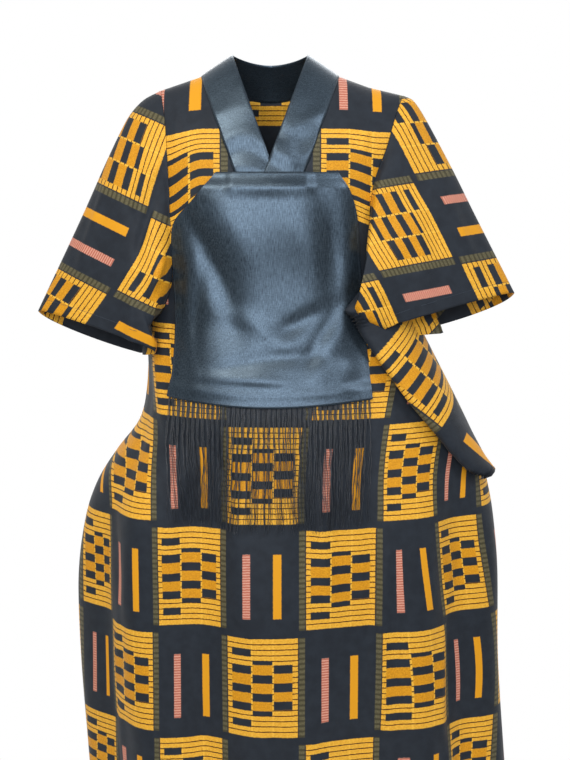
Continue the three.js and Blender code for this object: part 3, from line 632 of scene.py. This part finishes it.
ROLL_RINGS, ROLL_END, FREE_RINGS = 6, 0.035, 66    # rings over the seam, where they end, and the rest
CREASE_LONG, CREASE_ROUND = 400, 700               # the length and girth that creases' shares are of
# creases: from share of the length and share round, to the same, half width, height
SLEEVE_CREASES = {
    "right": ((0.02, 0.14, 0.3, 0.22, 10, 9), (0.04, 0.2, 0.4, 0.29, 10, -8), (0.03, 0.3, 0.34, 0.37, 9, 9),
              (0.3, 0.1, 0.9, 0.16, 14, 4), (0.4, 0.3, 1.0, 0.36, 13, 5), (0.1, 0.44, 0.6, 0.46, 10, -5),
              (0.05, 0.7, 0.5, 0.66, 12, 6), (0.2, 0.84, 0.9, 0.8, 14, -5), (0.5, 0.6, 1.0, 0.62, 13, 5)),
    "left": ((0.35, 0.12, 0.95, 0.15, 14, 4), (0.45, 0.24, 1.0, 0.3, 14, 5), (0.3, 0.2, 0.7, 0.2, 11, -4),
             (0.55, 0.36, 1.0, 0.4, 11, -5), (0.05, 0.7, 0.5, 0.66, 12, 6), (0.2, 0.84, 0.9, 0.8, 14, -5),
             (0.5, 0.6, 1.0, 0.62, 13, 5)),
}
# print: a point of the top fold, cell length, cells at that point and which way they count, slant,
# then a row's number, its place round the arm and the depth of the next one, and how far that row's
# line bulges halfway along
SLEEVE_PRINT = {
    "right": {"start": (-224, 0, -84), "cell": 142, "first": 1.5, "way": -1, "slant": 0.05,
              "depth": (0.93, 84, 155), "bulge": 40},
    "left": {"start": (236, 0, -72), "cell": 149, "first": -0.41, "way": 1, "slant": 0.33,
             "depth": (1.93, 70, 128), "bulge": 0},
}
# the sleeve laid flat: its width at the armhole and length in metres, and its area
SLEEVE_CUT = {"right": ((0.93, 0.43), 0.155), "left": ((0.91, 0.38), 0.175)}


def resampled(line, count):
    length = np.concatenate([[0], np.linalg.norm(np.diff(line, axis=0), axis=1).cumsum()])
    places = np.linspace(0, length[-1], count)
    return np.stack([np.interp(places, length, line[:, axis]) for axis in range(3)], -1)


def armhole_loop(side):
    """The armhole down the front and up the back, with the cloth's outward direction there."""
    edge = 0 if side == "right" else -1
    lines, ways = [], []
    for points, angle, z, rows in ((front_points, placed_angle, placed_z, front_rows),
                                   (back_points, back_angle, back_z, back_rows)):
        upper = rows <= 1.0001
        lines.append(resampled(points[upper, edge], ROUND_STEPS + 1))
        ways.append(resampled(outward(angle[upper, edge], z[upper, edge]), ROUND_STEPS + 1))
    loop, normals = (np.concatenate([down, up[-2:0:-1]]) for down, up in (lines, ways))
    normals[0], normals[ROUND_STEPS] = ways[0][0] + ways[1][0], ways[0][-1] + ways[1][-1]
    return loop, unit(normals)


def sleeve_section(side, t, share):
    rows, toward = SLEEVES[side], -1 if side == "right" else 1
    top_x, top_y, top_z, low_x, low_y, low_z, ahead, behind = (
        float(column(rows, k, t)) for k in range(1, 9))
    wave = np.sin(2 * np.pi * share)
    full = np.where(wave >= 0, ahead, behind) * np.sign(wave) * np.abs(wave) ** 0.85
    down = (1 - np.cos(2 * np.pi * share)) / 2
    return np.stack([toward * (top_x + (low_x - top_x) * down), top_y + (low_y - top_y) * down - full,
                     top_z + (low_z - top_z) * down + CUFF_TILT * full * t], -1)


def keep_clear(points, gap):
    """Moves points below the shoulder out from the middle line to a gap away from the body."""
    x, y, z = points.T
    depth = np.where(y < 0, section("front", z), section("back", z))
    power = section("power", z)
    degrees = np.degrees(np.arctan2((np.abs(x) / half_width(x, z)) ** (power / 2),
                                    (np.abs(y) / depth) ** (power / 2)))
    body = ring(round_body(y, x, degrees), z)
    lift = np.where((x > 0) & (y < 0), big_fold(x, z)[2], 0)
    least = np.hypot(body[:, 0], body[:, 1]) + gap + 0.9 * lift
    grow = 1 + np.maximum(least / np.hypot(x, y) - 1, 0) * smooth((-90 - z) / 60)
    return points * np.stack([grow, grow, np.ones_like(grow)], -1)


def sleeve(side):
    loop, normals = armhole_loop(side)
    count = len(loop)
    share = np.concatenate([np.linspace(0, 0.5, ROUND_STEPS + 1), np.linspace(0.5, 1, ROUND_STEPS + 1)[1:-1]])
    along = np.roll(loop, -1, 0) - np.roll(loop, 1, 0)
    away = unit(np.cross(along, normals) * (1 if side == "right" else -1))
    over = smooth((share - 0.2) / 0.1) * smooth((0.56 - share) / 0.08) * (side == "left")
    lift = ROLL["plain"] + (ROLL["folded"] - ROLL["plain"]) * over

    def free_ring(t):
        whole = sleeve_section(side, t, share)
        carried = loop + whole - sleeve_section(side, 0, share)
        carried = carried + (whole - carried) * smooth(t / 0.45)
        behind = smooth((share - 0.5) / 0.05) * smooth((t - 0.2) / 0.3)
        gap = CLEAR * (smooth(t / 0.1) * (1 - over) + over) + BACK_CLEAR * behind
        return keep_clear(carried, gap)

    edge = loop + away * 0.3
    bend = loop + away * ROLL["away"] + normals * lift[:, None]
    first = free_ring(ROLL_END)
    rings = [edge * (1 - s) ** 2 + bend * 2 * s * (1 - s) + first * s * s
             for s in np.linspace(0, 1, ROLL_RINGS, endpoint=False)]
    places = [0.0] * ROLL_RINGS + list(ROLL_END + (1 - ROLL_END) * np.linspace(0, 1, FREE_RINGS) ** 1.1)
    rings = np.array(rings + [free_ring(t) for t in places[ROLL_RINGS:]])

    # even out the bends, then raise the creases along the cloth's own outward direction
    for _ in range(3):
        rings[2:-1] = rings[2:-1] * 0.5 + (rings[1:-2] + rings[3:]) * 0.25
    around = np.roll(rings, -1, 1) - np.roll(rings, 1, 1)
    down = np.gradient(rings, axis=0)
    face = np.cross(around, down)
    face /= np.maximum(np.linalg.norm(face, axis=-1, keepdims=True), 1e-9)
    if face[-1, 0, 2] < 0:
        face = -face
    reach = np.array(places)[:, None]
    height = np.zeros((len(places), count))
    for t0, s0, t1, s1, wide, high in SLEEVE_CREASES[side]:
        on, across, _ = by_line(reach * CREASE_LONG, share * CREASE_ROUND,
                                (t0 * CREASE_LONG, s0 * CREASE_ROUND), (t1 * CREASE_LONG, s1 * CREASE_ROUND))
        ends = smooth(on / 0.4) * np.where(t1 >= 1, 1, smooth((1 - on) / 0.4))
        height += high * ends * np.exp(-((across / wide) ** 2))
    rings = rings + face * (height * smooth(reach / 0.06))[..., None]

    # the print runs along the top fold, and its rows count round the arm from it
    print_sizes = SLEEVE_PRINT[side]
    top = rings[:, 0]
    axis = top[-1] - top[12]
    axis /= np.linalg.norm(axis)
    closed = np.concatenate([rings, rings[:, :1]], 1)
    steps = np.diff(closed, axis=1) * (1, 0.55, 1)
    turn = np.sqrt(np.maximum((steps**2).sum(-1) - (steps @ axis) ** 2, 0))
    none = np.zeros((len(places), 1))
    ahead = np.concatenate([none, turn[:, :ROUND_STEPS].cumsum(1)], 1)
    behind = -np.concatenate([turn[:, ROUND_STEPS:][:, ::-1].cumsum(1)[:, ::-1], none], 1)
    inward = np.array((axis[2], 0, -axis[0])) * (1 if side == "left" else -1)
    shy = ((top - print_sizes["start"]) @ inward)[:, None]
    ahead, behind = ahead + shy * smooth(ahead / 25), behind - shy * smooth(-behind / 25)
    reach_mm = (closed - np.array(print_sizes["start"])) @ axis

    def cells(columns, round_mm):
        u = print_sizes["first"] + print_sizes["way"] * (
            reach_mm[:, columns] + print_sizes["slant"] * round_mm) / print_sizes["cell"]
        level, at, deep = print_sizes["depth"]
        at = at + print_sizes["bulge"] * np.exp(-(((reach_mm[:, columns] - 210) / 150) ** 2))
        return np.stack([u, level + (round_mm - at) / np.where(round_mm > at, deep, CELL[1])], -1)

    corners = np.concatenate([corner_values(cells(slice(0, ROUND_STEPS + 1), ahead)),
                              corner_values(cells(slice(ROUND_STEPS, None), behind))], 1)
    piece = cloth(f"{side}_sleeve", rings, corners, COTTON_WALL, closed=True, flip=side == "left")
    finish_piece(piece, f"sleeve_{side}", "printed_cotton", cotton, *SLEEVE_CUT[side])
    return rings


right_rings, left_rings = sleeve("right"), sleeve("left")


# ------------------------------------------------------------
# Neck band: three folded lengths of polyester satin round the neck opening. The front ones run down
# to the bib and cross in a V, the left over the right; all are sewn to the panels' edges.
BAND_WALL = 1.3
BAND_OUT = 0.8               # how far the band's face stands out from the cotton at its edges
LAP = 2.6                    # how far the left length rises where it crosses the right one
SATIN_DARK, SATIN_LIT = "#2E3842", "#54636F"
FRONT_BAND_CUT, BACK_BAND_CUT = (0.062, 0.24), (0.255, 0.066)


def satin_weave():
    # Polyester satin: warp floats lie along the length and give it a soft sheen that is drawn out
    # along the threads; the threads are drawn at about 1 mm so that they show
    material, tree = new_material("polyester_satin")
    place = socket(tree, "ShaderNodeTexCoord", output="Object")
    long_way = socket(tree, "ShaderNodeMapping", {"Vector": place, "Scale": (1500.0, 1500.0, 90.0)})
    cross_way = socket(tree, "ShaderNodeMapping", {"Vector": place, "Scale": (150.0, 150.0, 1300.0)})
    floats, picks = noise(tree, long_way, 1.0, 2.0), noise(tree, cross_way, 1.0, 1.0)
    slub = socket(tree, "ShaderNodeMix", {0: 0.25, 2: floats, 3: picks})
    surface(tree, {
        "Base Color": blend(tree, ramp(tree, slub, 0.35, 0.65), SATIN_DARK, SATIN_LIT),
        "Roughness": ramp(tree, floats, to_low=0.31, to_high=0.41),
        "Normal": bumps(tree, slub, 0.25, 0.0006), "IOR": 1.5, "Metallic": 0.8,
        "Specular IOR Level": 0.6, "Anisotropic": 0.35,
    })
    return material


satin = satin_weave()


def grid_uv(rows, columns, wide, tall):
    return np.stack(np.meshgrid(np.linspace(0, wide, columns), np.linspace(0, tall, rows)), -1)


def squared(points, x, out):
    """A band's end at the shoulder seam, where its wall stands square to the seam."""
    slope = (shoulder(x + np.sign(x)) - shoulder(x)) * np.sign(x)
    length = np.hypot(slope, 1)
    points[:] = np.stack([x - out * slope / length, 0 * x, shoulder(x) + out / length], -1)


def front_band(side):
    toward = -1 if side == "right" else 1
    run, across = np.linspace(0, 1, 70) ** 1.5, np.linspace(0, 1, 17)
    inner_z = NECK_CUT * run
    inner_x = NECK_HALF + LEAN * inner_z
    outer_x, outer_z = band_outer(run)
    x = toward * (inner_x[:, None] + (outer_x - inner_x)[:, None] * across)
    z = inner_z[:, None] + (outer_z - inner_z)[:, None] * across
    z[0] = shoulder(x[0])
    out = BAND_OUT + 0.7 * (1 - (2 * across - 1) ** 4) + 0 * z
    wrinkle = np.sin(z / 8.5 + 2.2 * np.sin(x / 26)) * smooth((-70 - z) / 60) * smooth((z + 205) / 30)
    out = out + 1.5 * wrinkle
    if side == "left":
        out = out + LAP * smooth((-105 - z) / 45) * smooth((52 - x) / 26)
    points = lay(-1, x, z, out)
    squared(points[0], x[0], out[0])
    uv = grid_uv(70, 17, 0.06, 0.2)
    return cloth(f"{side}_band", points, uv, BAND_WALL, flip=side == "right"), points


def back_band():
    along, across = np.linspace(0, 1, 61), np.linspace(0, 1, 15)
    turn = np.sin((along - 0.5) * np.pi)[None, :]
    x = turn * (NECK_HALF + (BAND_SHOULDER[0] - NECK_HALF) * across[:, None])
    z = back_neck(turn, across[:, None])
    z[:, [0, -1]] = shoulder(x[:, [0, -1]])
    out = BAND_OUT + 0.7 * (1 - (2 * across[:, None] - 1) ** 4) + 0 * z
    points = lay(1, x, z, out)
    for end in (0, -1):
        squared(points[:, end], x[:, end], out[:, end])
    return cloth("back_band", points, grid_uv(15, 61, 0.24, 0.06), BAND_WALL, flip=True), points


band_right, band_right_points = front_band("right")
band_left, band_left_points = front_band("left")
band_back, band_back_points = back_band()
for band, node, flat in ((band_right, "neck_band_right", FRONT_BAND_CUT),
                         (band_left, "neck_band_left", FRONT_BAND_CUT),
                         (band_back, "neck_band_back", BACK_BAND_CUT)):
    finish_piece(band, node, "satin", satin, flat, flat[0] * flat[1] * 0.98)


# ------------------------------------------------------------
# Bib: a panel of the same satin with cut-off upper corners, sewn on the chest over the ends of the
# neck band and the fringe's tape. It is slack, so it lies in broad shallow dents.
BIB_WALL = 1.0
BIB = {"top": -187, "bottom": -545, "sag": 12}
HEADER = {"height": 8, "under": 3}
BIB_SIDES = np.array([
    (-560, 167, 164), (-500, 158, 159), (-430, 154, 152), (-300, 158, 142), (-262, 151, 139),
    (-222, 113, 128), (-187, 85, 108),
], dtype=float)
# dents and swells: middle x and z, half length and half width, turn in degrees, height
BIB_RELIEF = (
    (-96, -316, 125, 20, -62, -6.6), (-44, -296, 125, 30, -64, 4.2), (-140, -330, 110, 14, -80, 3.0),
    (98, -300, 66, 18, -84, -5.6), (60, -310, 90, 24, -78, 2.6), (30, -478, 110, 14, 4, -3.2),
    (-40, -512, 100, 12, -6, 1.8), (112, -430, 90, 16, 62, 2.4), (84, -440, 70, 13, 58, -2.6),
    (-118, -420, 80, 12, 88, -3.0), (52, -420, 60, 14, 30, -3.0), (-20, -430, 60, 16, -30, 2.6),
)


def bib_bottom(x):
    return BIB["bottom"] - BIB["sag"] * np.cos(x / 165 * math.pi / 2)


def bib_lift(x, z):
    over_bands = smooth((z + 232) / 26) * smooth((74 - np.abs(x)) / 18)
    over_tape = smooth((bib_bottom(x) + HEADER["height"] + HEADER["under"] + 24 - z) / 20)
    inside = smooth((150 - np.abs(x)) / 40) * smooth((-190 - z) / 24) * smooth((z + 552) / 40)
    relief = np.zeros(x.shape)
    for mid_x, mid_z, length, wide, turn, high in BIB_RELIEF:
        cos, sin = math.cos(math.radians(turn)), math.sin(math.radians(turn))
        along, across = (x - mid_x) * cos + (z - mid_z) * sin, -(x - mid_x) * sin + (z - mid_z) * cos
        bow = across + 0.0012 * along**2
        relief += high * np.exp(-((along / length) ** 2) - (bow / wide) ** 2)
    return np.maximum(1.2 + 3.4 * np.maximum(over_bands, 1.1 * over_tape) + inside * (6.4 + relief), 1.0)


bib_down, bib_across = np.linspace(0, 1, 120), (1 - np.cos(np.linspace(0, 1, 100) * np.pi)) / 2
bib_level = BIB["top"] + (BIB["bottom"] - BIB["top"]) * bib_down
bib_right, bib_left = (column(BIB_SIDES, k, bib_level) for k in (1, 2))
bib_x = -bib_right[:, None] + (bib_right + bib_left)[:, None] * bib_across
bib_z = BIB["top"] + (bib_bottom(bib_x) - BIB["top"]) * bib_down[:, None]
bib_points = lay(-1, bib_x, bib_z, bib_lift(bib_x, bib_z))
bib = cloth("bib", bib_points, grid_uv(120, 100, 0.32, 0.37), BIB_WALL)
finish_piece(bib, "bib_panel", "satin", satin, (0.35, 0.38), 0.115, "laid", ["front"])


# ------------------------------------------------------------
# Fringe: loose strands of twisted rayon threaded into a woven tape, which the bib's lower edge covers.
# They hang over the front, gather in small clumps, and end unevenly.
STRANDS, STRAND_STEPS, STRAND_LENGTH, CLUMPS = 216, 26, 196, 40
TAPE_OUT, ROOT_OUT, FRINGE_OFF = 1.2, 1.4, 5.2   # how far tape, strand roots and strands stand out
STRAND_RADIUS, STRAND_SHAKE = 0.00055, 0.005     # metres


def rayon():
    # Twisted rayon thread: smooth filament with a slow twist, near black with a bright line of light
    # along each strand
    material, tree = new_material("rayon_thread")
    place = socket(tree, "ShaderNodeTexCoord", output="Object")
    stretched = socket(tree, "ShaderNodeMapping", {"Vector": place, "Scale": (500.0, 500.0, 60.0)})
    twist = socket(tree, "ShaderNodeTexWave", {"Vector": place, "Scale": 260.0, "Distortion": 1.5}, 1,
                   bands_direction="DIAGONAL")
    surface(tree, {
        "Base Color": blend(tree, ramp(tree, noise(tree, stretched, 1.0, 2.0), 0.35, 0.65),
                            "#15181D", "#2B323B"),
        "Roughness": 0.38, "Normal": bumps(tree, twist, 0.2, 0.0003), "IOR": 1.5,
        "Specular IOR Level": 0.6,
    })
    return material


thread = rayon()
tape_across = np.linspace(0, 1, 90)[None, :]
tape_x = -(BIB_SIDES[0, 1] - 2) + (BIB_SIDES[0, 1] + BIB_SIDES[0, 2] - 4) * tape_across + np.zeros((5, 1))
tape_z = bib_bottom(tape_x) + HEADER["under"] + HEADER["height"] * np.linspace(1, 0, 5)[:, None]
tape = cloth("fringe_tape", lay(-1, tape_x, tape_z, TAPE_OUT), grid_uv(5, 90, 0.33, 0.008), BIB_WALL)

random = np.random.default_rng(7)
share = (np.arange(STRANDS) + 0.5 + random.uniform(-0.25, 0.25, STRANDS)) / STRANDS
clump = np.round(share * CLUMPS) / CLUMPS - share
down = np.linspace(0, 1, STRAND_STEPS)[None, :]
root_x = -(BIB_SIDES[0, 1] - 4) + (BIB_SIDES[0, 1] + BIB_SIDES[0, 2] - 8) * share
length = STRAND_LENGTH * (1 + random.uniform(-0.05, 0.03, STRANDS))
length = np.where(random.random(STRANDS) < 0.07, length * random.uniform(0.7, 0.92, STRANDS), length)
phase, bend = random.uniform(0, 6.28, (2, STRANDS, 1))
strand_x = root_x[:, None] * (1 - 0.012 * down) + clump[:, None] * 330 * (0.25 + 0.65 * smooth(down * 1.6))
strand_x = strand_x + 5 * np.sin(share[:, None] * 10 + 1.3) * down**2
strand_x = strand_x + 1.5 * np.sin(9 * down + phase) * down
strand_x = strand_x + random.normal(0, 4, (STRANDS, 1)) * down**1.5
strand_z = (bib_bottom(root_x) + HEADER["under"] + HEADER["height"] / 2)[:, None] - length[:, None] * down
strand_out = ROOT_OUT + (FRINGE_OFF - ROOT_OUT + 1.2 * np.sin(bend + 3 * down)) * smooth(down * 3)
paths = lay(-1, strand_x, strand_z, strand_out)


def guide_lines(name, lines):
    """An object of loose edges, one run of them along each line of points."""
    points, edges = [], []
    for line in lines:
        edges += [(i, i + 1) for i in range(len(points), len(points) + len(line) - 1)]
        points += (line * MM).tolist()
    mesh = bpy.data.meshes.new(name)
    mesh.from_pydata(points, edges, [])
    return placed(name, mesh)


def guide_tree(title, *numbers):
    """A node tree that takes guides, these numbers and a material, and makes curves of the guides."""
    tree = bpy.data.node_groups.new(title, "GeometryNodeTree")
    kinds = {"Geometry": "NodeSocketGeometry", "Material": "NodeSocketMaterial"}
    for name in ("Geometry", *numbers, "Material"):
        tree.interface.new_socket(name, in_out="INPUT", socket_type=kinds.get(name, "NodeSocketFloat"))
    tree.interface.new_socket("Geometry", in_out="OUTPUT", socket_type="NodeSocketGeometry")
    inputs = tree.nodes.new("NodeGroupInput").outputs
    return tree, inputs, socket(tree, "GeometryNodeMeshToCurve", {"Mesh": inputs["Geometry"]})


def painted(tree, inputs, geometry):
    """Ends a guide tree: what it made, as real faces in the tree's material."""
    real = socket(tree, "GeometryNodeRealizeInstances", {"Geometry": geometry})
    add(tree, "NodeGroupOutput", {"Geometry": socket(
        tree, "GeometryNodeSetMaterial", {"Geometry": real, "Material": inputs["Material"]})})
    return tree


def strand_tree():
    """Guides to curves, shaken a little, then swept with a small round profile."""
    tree, inputs, curves = guide_tree("strands", "Radius", "Shake")
    place = socket(tree, "GeometryNodeInputPosition")
    centred = socket(tree, "ShaderNodeVectorMath",
                     {0: noise(tree, place, 90.0, 1.0, "Color"), 1: (0.5, 0.5, 0.5)}, operation="SUBTRACT")
    shake = socket(tree, "ShaderNodeVectorMath", {0: centred, "Scale": inputs["Shake"]}, operation="SCALE")
    moved = socket(tree, "GeometryNodeSetPosition", {"Geometry": curves, "Offset": shake})
    along = socket(tree, "GeometryNodeSplineParameter", output="Factor")
    profile = socket(tree, "GeometryNodeCurvePrimitiveCircle", {"Resolution": 5, "Radius": inputs["Radius"]})
    return painted(tree, inputs, socket(tree, "GeometryNodeCurveToMesh", {
        "Curve": moved, "Profile Curve": profile, "Scale": ramp(tree, along, to_low=1.0, to_high=0.6),
        "Fill Caps": True,
    }))


def made_plain(source, tree, values, name):
    """Runs a node tree on an object and keeps its result as a plain mesh object."""
    runner = source.modifiers.new("Nodes", "NODES")
    runner.node_group = tree
    for item in tree.interface.items_tree:
        if item.item_type == "SOCKET" and item.in_out == "INPUT" and item.name in values:
            runner[item.identifier] = values[item.name]
    bpy.context.view_layer.update()
    evaluated = source.evaluated_get(bpy.context.evaluated_depsgraph_get())
    piece = placed(name, bpy.data.meshes.new_from_object(evaluated))
    bpy.data.objects.remove(source)
    return piece


fringe = made_plain(guide_lines("fringe_guides", paths), strand_tree(),
                    {"Radius": STRAND_RADIUS, "Shake": STRAND_SHAKE, "Material": thread}, "fringe")
fringe.data.polygons.foreach_set("use_smooth", np.ones(len(fringe.data.polygons), dtype=bool))
tape.data.materials.append(thread)
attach(tape, "root")
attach(fringe, "root")
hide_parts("fringe")


# ------------------------------------------------------------
# Sewing: lockstitch in dark polyester thread holds the bib and the bands down along their edges, and
# the turned hems of the sleeves.
STITCH_PITCH, STITCH_RADIUS = 0.0028, 0.00028    # metres
EDGE_SEAM, HEM_SEAM = 3, 20      # how far the stitches lie from a sewn edge and from a sleeve's hem


def plain_material(name, colour, rough):
    material = bpy.data.materials.new(name)
    material.use_nodes = True
    shader = material.node_tree.nodes["Principled BSDF"]
    shader.inputs["Base Color"].default_value = linear(colour)
    shader.inputs["Roughness"].default_value = rough
    return material


def stitch_tree():
    """Even stitches along the guide lines: short rods that lie along each line."""
    tree, inputs, curves = guide_tree("stitches", "Pitch", "Radius")
    spots = add(tree, "GeometryNodeCurveToPoints", {"Curve": curves, "Length": inputs["Pitch"]},
                mode="LENGTH").outputs
    length = socket(tree, "ShaderNodeMath", {0: inputs["Pitch"], 1: 0.78}, operation="MULTIPLY")
    rod = socket(tree, "GeometryNodeMeshCylinder",
                 {"Vertices": 5, "Radius": inputs["Radius"], "Depth": length})
    return painted(tree, inputs, socket(tree, "GeometryNodeInstanceOnPoints", {
        "Points": spots["Points"], "Instance": rod, "Rotation": spots["Rotation"],
    }))


def edge_lines(points):
    """Lines of stitches a little way in from the first and the last row of a grid."""
    return [points[row] + unit(points[row + step] - points[row]) * EDGE_SEAM
            for row, step in ((0, 1), (-1, -1))]


def sideways(points):
    return np.swapaxes(points, 0, 1)


def sewn(name, lines):
    values = {"Pitch": STITCH_PITCH, "Radius": STITCH_RADIUS, "Material": polyester}
    piece = made_plain(guide_lines(name + "_guide", lines), stitches, values, name)
    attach(piece, "root")


# Polyester sewing thread: spun, a little fuzzy, dark blue-grey with a soft gleam
polyester = plain_material("sewing_thread", "#39424E", 0.5)
stitches = stitch_tree()
sewn("bib_stitches", edge_lines(sideways(bib_points)) + edge_lines(bib_points))
sewn("band_stitches", edge_lines(sideways(band_right_points)) + edge_lines(sideways(band_left_points))
     + edge_lines(band_back_points))
hems = [rings[-1] + unit(rings[-3] - rings[-1]) * HEM_SEAM for rings in (right_rings, left_rings)]
sewn("hem_stitches", [np.concatenate([line, line[:1]]) for line in hems])


# ------------------------------------------------------------
# Camera, light and floor: the camera stands two metres in front, level with the top of the bib, and
# looks ten degrees down; broad soft lights, a pale floor and a lit white backdrop.
CAMERA_PLACE, CAMERA_DOWN, CAMERA_LENS = (0.024, -2.0, -0.184), math.radians(10), 56.4
FLOOR_MIDDLE, FLOOR_RADIUS, FLOOR_STEPS = (0.06, -0.1, -1.52), 0.6, 96

camera = placed("camera", bpy.data.cameras.new("camera"))
camera.location = CAMERA_PLACE
camera.rotation_euler = (math.pi / 2 - CAMERA_DOWN, 0, 0)
camera.data.lens = CAMERA_LENS
bpy.context.scene.camera = camera


def soft_light(name, place, aim, size, watts, colour="#FFFFFF"):
    lamp = bpy.data.lights.new(name, "AREA")
    lamp.shape, lamp.size, lamp.size_y, lamp.energy = "RECTANGLE", size[0], size[1], watts
    lamp.color = linear(colour)[:3]
    holder = placed(name, lamp)
    holder.location = place
    toward = Vector(aim) - Vector(place)
    holder.rotation_euler = toward.to_track_quat("-Z", "Y").to_euler()


soft_light("key", (-1.3, -2.3, 1.6), (0, 0, -0.5), (1.4, 1.2), 50, "#FFFBF4")
soft_light("front", (-0.1, -3.3, 0.25), (0, 0, -0.4), (2.0, 1.5), 56, "#F0F6FF")
soft_light("fill", (1.7, -1.9, 1.3), (0, 0, -0.35), (0.9, 1.3), 28, "#F2F7FF")
soft_light("back", (0.2, 2.2, 1.2), (0, 0, -0.6), (2.0, 1.6), 30)

middle_x, middle_y, level = FLOOR_MIDDLE
plinth = [(middle_x + FLOOR_RADIUS * math.cos(a), middle_y + FLOOR_RADIUS * math.sin(a), level)
          for a in np.linspace(0, 2 * np.pi, FLOOR_STEPS, endpoint=False)]
floor_mesh = bpy.data.meshes.new("floor")
floor_mesh.from_pydata(plinth, [], [tuple(range(FLOOR_STEPS))])
floor_mesh.materials.append(plain_material("pale_floor", "#F4F4F2", 0.9))
placed("floor", floor_mesh)

# a lit white backdrop behind, and a dimmer room in front
world = bpy.data.worlds.new("studio")
world.use_nodes = True
sky = world.node_tree
ahead = socket(sky, "ShaderNodeSeparateXYZ", {0: socket(sky, "ShaderNodeTexCoord", output="Generated")}, "Y")
sky.links.new(ramp(sky, ahead, -0.4, 0.7, 0.22, 1.0), sky.nodes["Background"].inputs["Strength"])
sky.nodes["Background"].inputs["Color"].default_value = linear("#FFFFFF")
bpy.context.scene.world = world
bpy.context.scene.view_settings.view_transform = "Standard"
